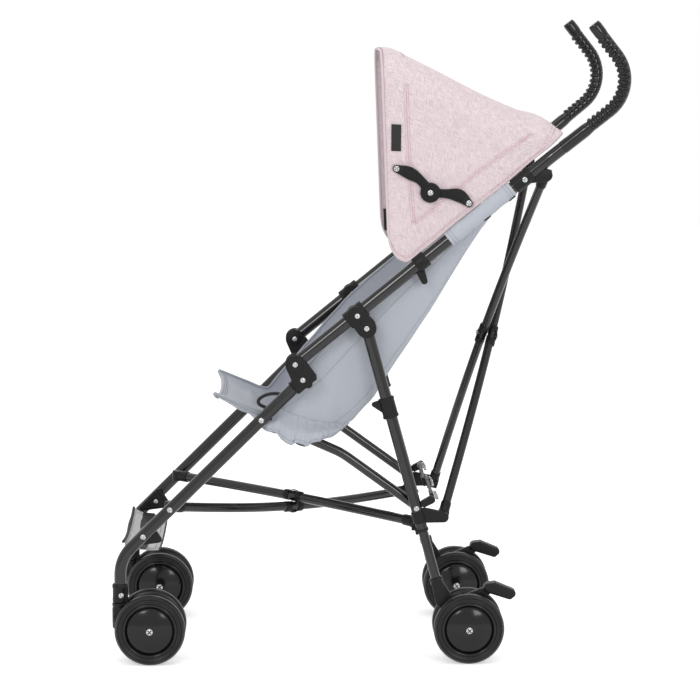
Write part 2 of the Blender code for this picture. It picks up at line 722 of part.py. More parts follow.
def bored(tube, place, normal):
    """Opens the eye at the tube's first end for a pin."""
    return cut(tube, rod(tube.name + "_eye_hole", place - normal * EYE_H, place + normal * EYE_H,
                         PIN_R + SLIDE_GAP, None, cutters, 16))


BRACE_Y = SIDE - LEG_R - SLIDE_GAP - YOKE_T - SLIDE_GAP - EYE_R
BACK_Y = SIDE - LUG_T / 2 - SLIDE_GAP - EYE_R


def yoke(s):
    """Swivel fitting inside the rear leg: two jaws and the pin that a bottom cross tube turns on."""
    side = NAMES[s]
    run = (side_point(BRACE_FRONT) - side_point(BRACE_REAR)).normalized()
    normal = run.cross(Vector((0, 1, 0)))
    centre = side_point(BRACE_REAR, s * BRACE_Y)
    turn = Matrix((run, (0, 1, 0), normal)).transposed().to_4x4()
    inner = EYE_H / 2 + GAP
    outer = inner + YOKE_T
    wall_low = EYE_R + SLIDE_GAP
    jaw = hull([((0.0, 0.0), JAW_R), ((0.0, s * (wall_low + YOKE_T - YOKE_W / 2)), YOKE_W / 2)])

    def block(outline, low, high):
        bm = bmesh.new()
        face = bm.faces.new([bm.verts.new((x, y, low)) for x, y in outline])
        raised = bmesh.ops.extrude_face_region(bm, geom=[face])
        moved = [v for v in raised["geom"] if isinstance(v, bmesh.types.BMVert)]
        bmesh.ops.translate(bm, verts=moved, vec=(0, 0, high - low))
        bm.transform(Matrix.Translation(centre) @ turn)
        bmesh.ops.recalc_face_normals(bm, faces=bm.faces)
        return bm

    half = YOKE_W / 2
    wall = [(-half, s * wall_low), (half, s * wall_low), (half, s * (wall_low + YOKE_T)),
            (-half, s * (wall_low + YOKE_T))]
    body = mesh_object(side + "_brace_yoke", block(wall, -outer, outer), PLASTIC)
    for tag, low, high in (("top", inner, outer), ("under", -outer, -inner)):
        jaws = block(jaw, low, high)
        join(body, mesh_object(f"{side}_{tag}_jaw", jaws, None, cutters))
    pin = rod(side + "_yoke_pin", centre - normal * outer, centre + normal * outer, PIN_R, None,
              cutters)
    return join(body, pin)


# Spreader lock between the rear legs
LOCK_H = 0.0140
LOCK_T = 0.0050
LOCK_AXIS = Vector((math.cos(REAR_LEAN), 0, math.sin(REAR_LEAN)))
LOCK_END_R = 0.0075
LOCK_Y = SIDE - LUG_T / 2 - GAP - LOCK_END_R


def lock_link(s):
    """One half of the folding spreader: a flat bar from the leg's ear to the knee."""
    side = NAMES[s]
    base = side_point(LOCK_POINT)
    shift = LOCK_AXIS * (LOCK_T / 2 + GAP) * (1 if s == LEFT else -1)
    bar_low = Vector((0, s * LOCK_Y, 0)) + base
    knee = base.copy()
    bm = bmesh.new()
    outline = hull([((bar_low.y, 0.0), LOCK_END_R), ((knee.y, 0.0), LOCK_H / 2)])
    face = bm.faces.new([bm.verts.new((0.0, y, h)) for y, h in outline])
    raised = bmesh.ops.extrude_face_region(bm, geom=[face])
    moved = [v for v in raised["geom"] if isinstance(v, bmesh.types.BMVert)]
    bmesh.ops.translate(bm, verts=moved, vec=(LOCK_T, 0, 0))
    bmesh.ops.recalc_face_normals(bm, faces=bm.faces)
    frame = Matrix((LOCK_AXIS, (0, 1, 0), REAR_DIR)).transposed().to_4x4()
    origin = base + shift - LOCK_AXIS * LOCK_T / 2
    bm.transform(Matrix.Translation((origin.x, 0, origin.z)) @ frame)
    return mesh_object(side + "_spreader_link", bm, PLASTIC)


# Hood
HOOD_Y = SIDE - 0.0010
CLIP_SEAT = CLIP_R + 1.5 * GAP


def above_tube(x, distance):
    """Point this far above the handle tube's middle line, square to the tube."""
    foot = on_tube(x)
    return (foot[0] - distance * math.sin(TUBE_ANGLE), foot[1] + distance * math.cos(TUBE_ANGLE))


HOOD_LOW = [(0.0300, 0.6950), above_tube(0.0720, CLIP_SEAT), above_tube(0.1120, CLIP_SEAT),
            (0.1650, 0.7560),
            (0.2313, 0.8110), (0.2640, 0.8380)]
HOOD_TOP = [(0.0178, 1.0150), (0.0570, 0.9980), (0.1600, 0.9500), (0.2450, 0.9110),
            (0.2880, 0.8960), (0.3120, 0.8740)]
HOOD_CORNER_R = 0.0520
HOOP_STEPS = 5


def hoop(low, top, half_width):
    """Points up one side, round the two top corners and down the other side."""
    up = side_point(top) - side_point(low)
    radius = min(HOOD_CORNER_R, up.length * 0.48)
    rise = up.normalized()
    points = [side_point(low, -half_width), side_point(low, -half_width) + up * 0.30]
    for sign in (-1, 1):
        corner = []
        for i in range(HOOP_STEPS + 1):
            turn = math.pi / 2 * i / HOOP_STEPS
            y = sign * (half_width - radius + radius * math.cos(turn))
            height = up.length - radius + radius * math.sin(turn)
            corner.append(side_point(low, y) + rise * height)
        points += corner if sign == -1 else corner[::-1]
        if sign == -1:
            points.append(side_point(top, 0.0) + rise * 0.0040)
    points += [side_point(low, half_width) + up * 0.30, side_point(low, half_width)]
    return points


def hood():
    """Canopy shell: hoops from the front hem back to the rear hem, open under and in front."""
    bm = bmesh.new()
    rows = [[bm.verts.new(p) for p in hoop(low, top, HOOD_Y)]
            for low, top in zip(HOOD_LOW, HOOD_TOP)]
    for a, b in zip(rows, rows[1:]):
        for i in range(len(a) - 1):
            bm.faces.new((a[i], a[i + 1], b[i + 1], b[i]))
    bmesh.ops.recalc_face_normals(bm, faces=bm.faces)
    canopy = mesh_object("hood_canopy", bm, HOOD_CLOTH)
    wall = canopy.modifiers.new("wall", "SOLIDIFY")
    wall.thickness = HOOD_T
    wall.offset = 0.0
    return canopy


STAY_Y = HOOD_Y + HOOD_T / 2 + GAP
STAY_FRONT = (0.0420, 0.8160)
STAY_CENTRE = (0.0972, 0.7760)
STAY_REAR = (0.1597, 0.7590)


def hood_stay(s):
    """Two leaf-shaped arms joined at a disc, riveted to the hood's side."""
    side = NAMES[s]
    y_a, y_b = sorted((s * STAY_Y, s * (STAY_Y + 0.0035)))
    middle = ((STAY_FRONT[0] + STAY_CENTRE[0]) / 2, (STAY_FRONT[1] + STAY_CENTRE[1]) / 2)
    back = ((STAY_REAR[0] + STAY_CENTRE[0]) / 2, (STAY_REAR[1] + STAY_CENTRE[1]) / 2)
    front = plate(side + "_hood_stay", hull([(STAY_FRONT, 0.0060), (middle, 0.0085),
                                             (STAY_CENTRE, 0.0075)]), y_a, y_b, PLASTIC)
    rear = plate(side + "_stay_rear_arm", hull([(STAY_REAR, 0.0060), (back, 0.0080),
                                                (STAY_CENTRE, 0.0075)]), y_a, y_b, None, cutters)
    join(front, rear)
    disc = rod(side + "_stay_disc", side_point(STAY_CENTRE, s * STAY_Y),
               side_point(STAY_CENTRE, s * (STAY_Y + 0.0075)), 0.0135, None, cutters, 24)
    return join(front, disc)


# Seat sling
SEAT_Y = SIDE - BRACKET_W / 2 - PIN_HEAD - GAP - CLOTH_T / 2
SEAT_RIM = [(-0.2573, 0.4460), (-0.2220, 0.4310), (-0.1880, 0.4190), (-0.1480, 0.4500),
            (-0.1235, 0.5060), (-0.0350, 0.5760), (0.0250, 0.6240), (0.0900, 0.6760),
            (0.1550, 0.7280), (0.2150, 0.7760), (0.2350, 0.7940)]
SEAT_BASE = [(-0.2573, 0.4340), (-0.2250, 0.4170), (-0.1940, 0.4000), (-0.1425, 0.3740),
             (-0.0985, 0.3690), (-0.0450, 0.3860), (0.0008, 0.4286), (0.0318, 0.4760),
             (0.0980, 0.5760), (0.1500, 0.6630), (0.1979, 0.7397)]
# How far each section's rim lies inside the frame, and how deep a fold its side panel has
SEAT_TUCK = [0.0100, 0.0130, 0.0150, 0.0050, 0, 0, 0, 0, 0, 0, 0]
SEAT_FOLD = [0, 0, 0.0015, 0.0040, 0, 0.0055, 0.0010, 0.0040, 0, 0.0025, 0]
# Down the side panel: part of its depth, how far in it lies, and its share of the fold
SEAT_PROFILE = [(0.0, 0.0, 0.0), (0.15, 0.0, 0.0), (0.40, 0.004, 1.0), (0.75, 0.018, 0.6),
                (0.94, 0.045, 0.2), (1.0, 0.085, 0.0)]


def seat_section(rim, base, tuck, fold):
    """U-shaped section: side panel down, rounded into a slack floor, and up the other side."""
    down = side_point(base) - side_point(rim)
    points = []
    for part, inset, slack in SEAT_PROFILE:
        points.append((side_point(rim) + down * part, SEAT_Y - tuck - inset - fold * slack))
    left = [p + Vector((0, -y, 0)) for p, y in points]
    right = [p + Vector((0, y, 0)) for p, y in points[::-1]]
    return left + [side_point(base)] + right


def seat():
    bm = bmesh.new()
    rows = [[bm.verts.new(p) for p in seat_section(*section)]
            for section in zip(SEAT_RIM, SEAT_BASE, SEAT_TUCK, SEAT_FOLD)]
    for a, b in zip(rows, rows[1:]):
        for i in range(len(a) - 1):
            bm.faces.new((a[i], a[i + 1], b[i + 1], b[i]))
    bmesh.ops.recalc_face_normals(bm, faces=bm.faces)
    sling = mesh_object("seat_sling", bm, SEAT_CLOTH)
    wall = sling.modifiers.new("wall", "SOLIDIFY")
    wall.thickness = CLOTH_T
    wall.offset = 0.0
    return sling


for s in (LEFT, RIGHT):
    handle_tube(s)
    grip(s)
    lower_bracket(s)
    front_leg(s)
    mid_bracket(s)
    rear_leg(s)
    lower_leg(s)
    upper_bracket(s)
    rear_joint(s)
    leg_sleeve(s)
    hood_clip(s)
    side_strut(s)
    caster_socket(s)
    caster(s)
    wheel_set(s, "front", FRONT_AXLE_X)
    rear_housing(s)
    wheel_set(s, "rear", REAR_AXLE_X)
    brake_pedal(s)
    foot_bracket(s)
    yoke(s)
    lock_link(s)
    hood_stay(s)
brace_normal, *braces = cross_pair("bottom_cross", BRACE_REAR, BRACE_FRONT, BRACE_Y,
                                   BRACE_R + GAP, BRACE_SAG, BRACE_R)
for brace, rear_end in braces:
    bored(brace, rear_end, brace_normal)
cross_pair("rear_cross", BACK_TOP, BACK_FOOT, BACK_Y, BACK_R + GAP, 0.0, BACK_R)
foot_strap()
seat()
hood()


# Carriers: an empty on each joint's axis holds the pieces that turn about it together
def carrier(name, place, pieces, holder=None):
    empty = bpy.data.objects.new(name + "_carrier", None)
    empty.empty_display_size = 0.02
    empty.location = place
    stroller.objects.link(empty)
    if holder:
        empty.parent = holder
        empty.matrix_parent_inverse = Matrix.Translation(-holder.location)
    for piece in pieces:
        held = bpy.data.objects[piece]
        held.parent = empty
        held.matrix_parent_inverse = Matrix.Translation(-empty.location)
    return empty


for s in (LEFT, RIGHT):
    side = NAMES[s]
    frame_y = s * SIDE
    front = carrier(side + "_front_leg_fold", side_point(TUBE_PIVOT, frame_y),
                    [side + part for part in ("_front_leg", "_lower_bracket", "_caster_socket",
                                              "_foot_bracket")])
    castor = carrier(side + "_caster_swivel", Vector((CASTER_X, frame_y, AXLE_Z)),
                     [side + "_caster"], front)
    rear = carrier(side + "_rear_leg_fold", side_point(REAR_PIVOT, frame_y),
                   [side + part for part in ("_rear_leg", "_rear_lower_leg", "_rear_joint",
                                             "_leg_sleeve", "_rear_housing")])
    for tag, offset in (("outer", WHEEL_OFF), ("inner", -WHEEL_OFF)):
        wheel_y = frame_y + s * offset
        carrier(f"{side}_front_{tag}_spin", Vector((FRONT_AXLE_X, wheel_y, AXLE_Z)),
                [f"{side}_front_wheel_{tag}"], castor)
        carrier(f"{side}_rear_{tag}_spin", Vector((REAR_AXLE_X, wheel_y, AXLE_Z)),
                [f"{side}_rear_wheel_{tag}"], rear)
    carrier(side + "_strut_fold", side_point(STRUT_REAR, s * STRUT_Y), [side + "_side_strut"], rear)
    carrier(side + "_spreader_fold", side_point(LOCK_POINT, s * LOCK_Y),
            [side + "_spreader_link"], rear)
    carrier(side + "_pedal_press", side_point(PEDAL_PIVOT, frame_y), [side + "_brake_pedal"], rear)
    carrier(side + "_yoke_tilt", side_point(BRACE_REAR, s * BRACE_Y), [side + "_brace_yoke"], rear)
for prefix, first, second, reach in (
        ("bottom_cross", BRACE_REAR, BRACE_FRONT, BRACE_Y),
        ("rear_cross", BACK_TOP, BACK_FOOT, BACK_Y)):
    end = carrier(prefix + "_end", side_point(first, -reach),
                  [prefix + "_tube_a", prefix + "_pivot"])
    middle = (side_point(first) + side_point(second)) / 2
    carrier(prefix + "_scissor", middle, [prefix + "_tube_b"], end)
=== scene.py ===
import json
import math

import bmesh
import bpy
from bpy.props import FloatProperty, FloatVectorProperty, IntProperty, PointerProperty
from mathutils import Matrix, Vector, noise

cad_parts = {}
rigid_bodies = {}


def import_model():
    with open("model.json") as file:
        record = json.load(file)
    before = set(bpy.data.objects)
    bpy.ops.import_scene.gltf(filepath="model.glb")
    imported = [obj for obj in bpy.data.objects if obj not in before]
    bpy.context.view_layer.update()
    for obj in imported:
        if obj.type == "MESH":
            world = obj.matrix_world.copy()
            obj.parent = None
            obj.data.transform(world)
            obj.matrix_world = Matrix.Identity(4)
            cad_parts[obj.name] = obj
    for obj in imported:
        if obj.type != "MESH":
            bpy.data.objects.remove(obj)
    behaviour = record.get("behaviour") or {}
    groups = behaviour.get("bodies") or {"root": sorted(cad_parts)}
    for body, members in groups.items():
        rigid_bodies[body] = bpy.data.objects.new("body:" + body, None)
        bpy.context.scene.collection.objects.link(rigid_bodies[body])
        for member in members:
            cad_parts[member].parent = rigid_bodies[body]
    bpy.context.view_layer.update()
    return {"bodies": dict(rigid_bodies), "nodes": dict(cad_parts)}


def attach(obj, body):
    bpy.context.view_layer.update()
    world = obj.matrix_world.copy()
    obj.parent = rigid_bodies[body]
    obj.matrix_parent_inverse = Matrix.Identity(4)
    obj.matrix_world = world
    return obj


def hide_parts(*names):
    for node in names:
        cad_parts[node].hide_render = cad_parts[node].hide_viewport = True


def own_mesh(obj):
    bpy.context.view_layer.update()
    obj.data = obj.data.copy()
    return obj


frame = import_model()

bl_info = {
    "name": "Folding stroller",
    "version": (1, 0, 0),
    "blender": (4, 5, 0),
    "location": "View3D > Sidebar > Stroller",
    "description": "Dresses a folding tube-frame stroller: tubes, brackets, wheels, seat and hood",
    "category": "Add Mesh",
}

# Side view of one side frame: (x, z) pairs, metres, forward is -X
SIDE = 0.180
TUBE_PIVOT = (-0.1235, 0.4970)
LEG_SCREW = (-0.1110, 0.4714)
TUBE_ANGLE = math.radians(39.0)
LEG_ANGLE = math.radians(44.6)
REAR_LEAN = math.radians(15.4)
REAR_PIVOT = (-0.0065, 0.5562)
STRUT_FRONT = (-0.1793, 0.4042)
STRUT_BEND = (-0.0464, 0.3457)
STRUT_REAR = (0.0762, 0.2563)
BRACE_FRONT = (-0.3306, 0.2555)
BRACE_REAR = (0.0770, 0.2280)
BRACE_SAG = 0.005
BACK_TOP = (0.2865, 0.8058)
BACK_FOOT = (0.1210, 0.2410)
CASTER_X = -0.4137
FRONT_AXLE_X = -0.3640
REAR_AXLE_X = 0.1625
LOCK_POINT = (0.1005, 0.2700)
LEG_END_Z = 0.1050
LOWER_END_Z = 0.1010
REAR_TUBE_END_Z = 0.2190
PEDAL_PIVOT = (0.1500, 0.1010)

# Section sizes
HANDLE_R = 0.0105
LEG_R = 0.0100
REAR_R = 0.0095
LOWER_R = 0.0080
STRUT_R = 0.0080
BRACE_R = 0.0080
BACK_R = 0.0072
WHEEL_R = 0.0590 * math.cos(math.pi / 20)
WHEEL_W = 0.0220
WHEEL_OFF = 0.0270
CAP_R = 0.0412
CAP_DOME = 0.0062
BRACKET_W = 0.0300
BRACKET_R = 0.0162
SLOT_W = 0.0222
LUG_T = 0.0120
EYE_R = 0.0102
HOUSING_W = 0.0266
GAP = 0.0003
CLEAR = 0.0004
TUBE_PAST = 0.0100      # how far a tube runs past its pivot
SCREW_SIDE = 0.0129     # a screw's seat on the sleeves, from the tube's middle
AXLE_R = 0.0040
AXLE_REACH = WHEEL_OFF + 0.0040
YOKE_WALL = 0.0030
BRACE_REACH = SIDE - LEG_R - CLEAR - YOKE_WALL - CLEAR - EYE_R
CHEEK_Y = SIDE - LEG_R - CLEAR
CHEEK_T = 0.0090

# Handle and grip
SPREAD_START_X = 0.2950
HANDLE_SPREAD = 0.030
TUBE_END_X = 0.3300
GRIP_CORNER_X = 0.4366
GRIP_TIP = (0.3580, 1.0510)
GRIP_BEND_R = 0.066
GRIP_CORE_R = 0.0098
GRIP_SLEEVE_R = 0.0110
GRIP_SOCKET = 0.022

# Cloth
SEAT_Y = 0.1615
SEAT_CORNER = 0.52       # share of a section where its side turns into its floor
SEAT_INSET = 0.040       # how far in from the side that corner lies
HOOD_Y = 0.179

LEFT, RIGHT = -1, 1
NAMES = {LEFT: "left", RIGHT: "right"}
TUBE_DIR = Vector((math.cos(TUBE_ANGLE), 0.0, math.sin(TUBE_ANGLE)))
LEG_DIR = Vector((math.cos(LEG_ANGLE), 0.0, math.sin(LEG_ANGLE)))
REAR_DIR = Vector((-math.sin(REAR_LEAN), 0.0, math.cos(REAR_LEAN)))
TUBE_RISE = Vector((-math.sin(TUBE_ANGLE), 0.0, math.cos(TUBE_ANGLE)))
SIDE_VIEW = ((1, 0, 0), (0, 0, 1), (0, 1, 0))


# Settings
class StrollerFrameSettings(bpy.types.PropertyGroup):
    """Sizes and finishes of the tubes, mouldings and wheels."""

    tube_colour: FloatVectorProperty(
        name="Tube paint", description="Colour of the painted frame tubes", subtype="COLOR",
        size=3, min=0.0, max=1.0, default=(0.0050, 0.0050, 0.0054))
    plastic_colour: FloatVectorProperty(
        name="Mouldings", description="Colour of brackets, clips and housings", subtype="COLOR",
        size=3, min=0.0, max=1.0, default=(0.0058, 0.0058, 0.0063))
    rubber_colour: FloatVectorProperty(
        name="Tyres and grips", description="Colour of the foam tyres and rubber grips",
        subtype="COLOR", size=3, min=0.0, max=1.0, default=(0.0080, 0.0080, 0.0086))
    tube_sides: IntProperty(
        name="Tube facets", description="Facets round a tube", default=28, min=8, max=64)
    grip_ribs: IntProperty(
        name="Grip ribs", description="Rows of bumps along a grip", default=18, min=4, max=40)
    rivet_radius: FloatProperty(
        name="Rivet radius", description="Radius of a rivet or screw head", default=0.0046,
        min=0.001, max=0.02, unit="LENGTH", subtype="DISTANCE")


class StrollerClothSettings(bpy.types.PropertyGroup):
    """Colours and sewing of the seat and the hood."""

    seat_colour: FloatVectorProperty(
        name="Seat cloth", description="Colour of the woven seat sling", subtype="COLOR",
        size=3, min=0.0, max=1.0, default=(0.455, 0.480, 0.535))
    hood_colour: FloatVectorProperty(
        name="Hood cloth", description="Main colour of the flecked hood cloth", subtype="COLOR",
        size=3, min=0.0, max=1.0, default=(0.712, 0.600, 0.622))
    strap_colour: FloatVectorProperty(
        name="Foot strap", description="Colour of the foot strap", subtype="COLOR",
        size=3, min=0.0, max=1.0, default=(0.50, 0.50, 0.49))
    stitch_pitch: FloatProperty(
        name="Stitch pitch", description="Distance from one stitch to the next", default=0.0036,
        min=0.001, max=0.02, unit="LENGTH", subtype="DISTANCE")
    stitch_length: FloatProperty(
        name="Stitch length", description="Length of one stitch", default=0.0025,
        min=0.0005, max=0.02, unit="LENGTH", subtype="DISTANCE")
    wall: FloatProperty(
        name="Cloth thickness", description="Thickness of the sewn cloth", default=0.0011,
        min=0.0003, max=0.004, unit="LENGTH", subtype="DISTANCE")


class StrollerStageSettings(bpy.types.PropertyGroup):
    """Floor, backdrop and lamps."""

    floor_colour: FloatVectorProperty(
        name="Floor", description="Colour of the floor and backdrop", subtype="COLOR",
        size=3, min=0.0, max=1.0, default=(0.90, 0.90, 0.90))
    key_power: FloatProperty(
        name="Key lamp", description="Power of the main soft lamp", default=31.0, min=0.0,
        max=1000.0, unit="POWER")


# Shapes
def in_side(point, y=0.0):
    """A side-view point as a place in space."""
    return Vector((point[0], y, point[1]))


def facing(s):
    """Outward direction of one side of the stroller."""
    return Vector((0, s, 0))


def heading(path, i):
    """Direction of a path at its point i."""
    return (path[min(i + 1, len(path) - 1)] - path[max(i - 1, 0)]).normalized()


def run_of(path):
    """Length of a path."""
    return sum((b - a).length for a, b in zip(path, path[1:]))


def on_tube(x):
    """Point of the handle tube's middle line at this x."""
    return (x, TUBE_PIVOT[1] + (x - TUBE_PIVOT[0]) * math.tan(TUBE_ANGLE))


def on_rear(z):
    """Point of the rear leg's middle line at this height."""
    return (REAR_PIVOT[0] + (REAR_PIVOT[1] - z) * math.tan(REAR_LEAN), z)


def behind_rear(z, back):
    """Point this far behind the rear leg's middle line."""
    x, height = on_rear(z)
    return (x + back * math.cos(REAR_LEAN), height + back * math.sin(REAR_LEAN))


def round_bend(points, radius, steps=12):
    """Path with its inner corners rounded to this radius."""
    path = [Vector(points[0])]
    for before, corner, after in zip(points, points[1:], points[2:]):
        before, corner, after = Vector(before), Vector(corner), Vector(after)
        to_a = (before - corner).normalized()
        to_b = (after - corner).normalized()
        half = to_a.angle(to_b) / 2
        centre = corner + (to_a + to_b).normalized() * radius / math.sin(half)
        first = corner + to_a * radius / math.tan(half) - centre
        last = corner + to_b * radius / math.tan(half) - centre
        axis = first.cross(last).normalized()
        sweep = first.angle(last)
        for i in range(steps + 1):
            path.append(centre + Matrix.Rotation(sweep * i / steps, 3, axis) @ first)
    path.append(Vector(points[-1]))
    return path


def flowing(points, per_span=6):
    """Smooth line through the points, evenly divided in each span."""
    pts = [Vector(p) for p in points]
    pts = [pts[0] * 2 - pts[1]] + pts + [pts[-1] * 2 - pts[-2]]
    out = []
    for i in range(1, len(pts) - 2):
        a, b, c, d = pts[i - 1:i + 3]
        for k in range(per_span):
            t = k / per_span
            out.append(0.5 * ((2 * b) + (c - a) * t + (2 * a - 5 * b + 4 * c - d) * t * t
                              + (3 * b - a - 3 * c + d) * t * t * t))
    out.append(pts[-2].copy())
    return out


def side_line(points, per_span, y=0.0):
    """Smooth line through side-view points."""
    return flowing([in_side(p, y) for p in points], per_span)


def belt(*circles, steps=32):
    """Outline that wraps circles given as ((x, z), radius), like a belt."""
    cloud = set()
    for (x, z), radius in circles:
        for i in range(steps):
            turn = 2 * math.pi * i / steps
            cloud.add((x + radius * math.cos(turn), z + radius * math.sin(turn)))
    cloud = sorted(cloud)

    def half(points):
        chain = []
        for p in points:
            while len(chain) > 1 and (
                (chain[-1][0] - chain[-2][0]) * (p[1] - chain[-2][1])
                - (chain[-1][1] - chain[-2][1]) * (p[0] - chain[-2][0])
            ) <= 1e-12:
                chain.pop()
            chain.append(p)
        return chain[:-1]

    return half(cloud) + half(cloud[::-1])


def linked(name, data):
    """Object of the scene that holds the data."""
    obj = bpy.data.objects.new(name, data)
    bpy.context.scene.collection.objects.link(obj)
    return obj


def smoothed(data, angle):
    """Smooth shading, sharp at edges above the angle in degrees."""
    data.shade_smooth()
    data.set_sharp_from_angle(angle=math.radians(angle))


def evaluated(source):
    """The object's mesh with its modifiers applied; the object itself goes."""
    bpy.context.view_layer.update()
    ready = source.evaluated_get(bpy.context.evaluated_depsgraph_get())
    data = bpy.data.meshes.new_from_object(ready)
    bpy.data.objects.remove(source, do_unlink=True)
    return data


def into_scene(bm, finish, smooth=35):
    """Closes a bmesh into an object of the scene, faces outwards, smooth below the given angle."""
    bmesh.ops.remove_doubles(bm, verts=bm.verts, dist=0.000002)
    bmesh.ops.recalc_face_normals(bm, faces=bm.faces)
    data = bpy.data.meshes.new("shape")
    bm.to_mesh(data)
    bm.free()
    data.materials.append(FINISH[finish])
    smoothed(data, smooth)
    return linked("shape", data)


def band(bm, rings, lids=(0, -1)):
    """Faces from each ring of vertices to the next, and lids on these rings."""
    for a, b in zip(rings, rings[1:]):
        for k in range(len(a)):
            after = (k + 1) % len(a)
            bm.faces.new((a[k], a[after], b[after], b[k]))
    for k in lids:
        bm.faces.new(rings[k])


def swept_tube(path, radius, finish, sides=None, scales=None, edge=0.0006):
    """Closed round tube along the path, its ends slightly eased."""
    sides = sides or bpy.context.scene.stroller_frame.tube_sides
    path = [Vector(p) for p in path]
    scales = scales or [1.0] * len(path)
    if edge:
        first = (path[1] - path[0]).normalized()
        last = (path[-1] - path[-2]).normalized()
        path = [path[0], path[0] + first * edge] + path[1:-1] + [path[-1] - last * edge, path[-1]]
        rim = 1 - edge / radius
        scales = [scales[0] * rim, scales[0]] + scales[1:-1] + [scales[-1], scales[-1] * rim]
    bm = bmesh.new()
    side = heading(path, 0).orthogonal().normalized()
    rings = []
    for i, place in enumerate(path):
        ahead = heading(path, i)
        side = (side - ahead * side.dot(ahead)).normalized()
        other = ahead.cross(side)
        ring = []
        for k in range(sides):
            turn = 2 * math.pi * k / sides
            out = side * math.cos(turn) + other * math.sin(turn)
            ring.append(bm.verts.new(place + out * radius * scales[i]))
        rings.append(ring)
    band(bm, rings)
    return into_scene(bm, finish)


def turned(profile, centre, axis, steps=48, smooth=35, finish="moulded"):
    """Round body: (radius, height) pairs turned about an axis through the centre."""
    bm = bmesh.new()
    rows = []
    for k in range(steps):
        turn = 2 * math.pi * k / steps
        rows.append([bm.verts.new((r * math.cos(turn), r * math.sin(turn), h))
                     for r, h in profile])
    for k in range(steps):
        a, b = rows[k], rows[(k + 1) % steps]
        for i in range(len(profile) - 1):
            corners = [a[i], a[i + 1], b[i + 1], b[i]]
            if profile[i][0] == 0:
                corners = [a[i], a[i + 1], b[i + 1]]
            if profile[i + 1][0] == 0:
                corners = [a[i], a[i + 1], b[i]]
            bm.faces.new(corners)
    turn = Vector((0, 0, 1)).rotation_difference(Vector(axis)).to_matrix().to_4x4()
    bm.transform(Matrix.Translation(Vector(centre)) @ turn)
    return into_scene(bm, finish, smooth)


def cuff(bore, flank, centre, axis):
    """Hollow sleeve whose (radius, height) flank is the same on both sides of its middle."""
    bore += 0.0002
    low = [(r, -h) for r, h in flank]
    profile = [(bore, -flank[0][1])] + low + flank[::-1] + [(bore, flank[0][1])]
    return turned(profile + profile[:1], centre, axis, 40)


def drum(start, end, radius, edge=0.0008, steps=40, finish="moulded"):
    """Plain round boss or sleeve with eased rims."""
    start, end = Vector(start), Vector(end)
    length, soft = (end - start).length, edge * 0.3
    flank = [(radius - edge, 0), (radius - soft, soft), (radius, edge)]
    profile = [(0, 0)] + flank + [(r, length - h) for r, h in flank[::-1]] + [(0, length)]
    return turned(profile, start, end - start, steps, finish=finish)


def disc(centre, half, radius, edge=0.0008, steps=40, finish="moulded"):
    """Drum that reaches this far to both sides of its centre."""
    return drum(centre - half, centre + half, radius, edge, steps, finish)


def moulding(outline, low, high, edge=0.0014, segments=3, finish="moulded", centre=(0, 0, 0),
             axes=SIDE_VIEW):
    """Outline in the plane of the first two axes, as thick as low to high, its rims rounded."""
    low, high = sorted((low, high))
    bm = bmesh.new()
    face = bm.faces.new([bm.verts.new((a, b, low)) for a, b in outline])
    raised = bmesh.ops.extrude_face_region(bm, geom=[face])
    moved = [v for v in raised["geom"] if isinstance(v, bmesh.types.BMVert)]
    bmesh.ops.translate(bm, verts=moved, vec=(0, 0, high - low))
    rims = [e for e in bm.edges if abs(e.verts[0].co.z - e.verts[1].co.z) < 1e-9]
    bmesh.ops.bevel(bm, geom=rims, offset=edge, segments=segments, profile=0.5, affect="EDGES",
                    clamp_overlap=True)
    turn = Matrix([list(a) for a in axes]).transposed().to_4x4()
    bm.transform(Matrix.Translation(Vector(centre)) @ turn)
    return into_scene(bm, finish, 40)


def as_one(name, pieces):
    """Joins pieces into one object that keeps each one's material."""
    first = pieces[0]
    if len(pieces) > 1:
        with bpy.context.temp_override(active_object=first, object=first,
                                       selected_objects=pieces,
                                       selected_editable_objects=pieces):
            bpy.ops.object.join()
    first.name = name
    first.data.name = name
    return first


# Node trees
HEAD_SEED = 7
THREAD_W = 0.0010


def add_node(tree, kind, modes=(), **values):
    """New node of a tree, with its modes and the values of its inputs."""
    node = tree.nodes.new(kind)
    for name, mode in dict(modes).items():
        setattr(node, name, mode)
    for name, value in values.items():
        node.inputs[name.replace("_", " ")].default_value = value
    return node


def wire(tree, *lines):
    """Links sockets, each line given as from node, output, to node, input."""
    for source, output, target, socket in lines:
        tree.links.new(source.outputs[output], target.inputs[socket])


def scatter_tree(name, points_kind, modes, sockets):
    """Tree that sets a shape on points of the geometry, made real and given its finish."""
    tree = bpy.data.node_groups.new(name, "GeometryNodeTree")
    for way in ("INPUT", "OUTPUT"):
        tree.interface.new_socket("Geometry", in_out=way, socket_type="NodeSocketGeometry")
    for label, kind in sockets.items():
        tree.interface.new_socket(label, in_out="INPUT", socket_type="NodeSocket" + kind)
    given, out = add_node(tree, "NodeGroupInput"), add_node(tree, "NodeGroupOutput")
    points = add_node(tree, points_kind, modes)
    shape = add_node(tree, "GeometryNodeObjectInfo")
    place = add_node(tree, "GeometryNodeInstanceOnPoints")
    real = add_node(tree, "GeometryNodeRealizeInstances")
    paint = add_node(tree, "GeometryNodeSetMaterial")
    wire(tree, (given, "Geometry", points, 0), (points, "Points", place, "Points"),
         (given, "Shape", shape, "Object"), (shape, "Geometry", place, "Instance"),
         (given, "Scale", place, "Scale"), (place, "Instances", real, "Geometry"),
         (real, "Geometry", paint, "Geometry"), (given, "Finish", paint, "Material"),
         (paint, "Geometry", out, "Geometry"))
    return tree, given, points, place


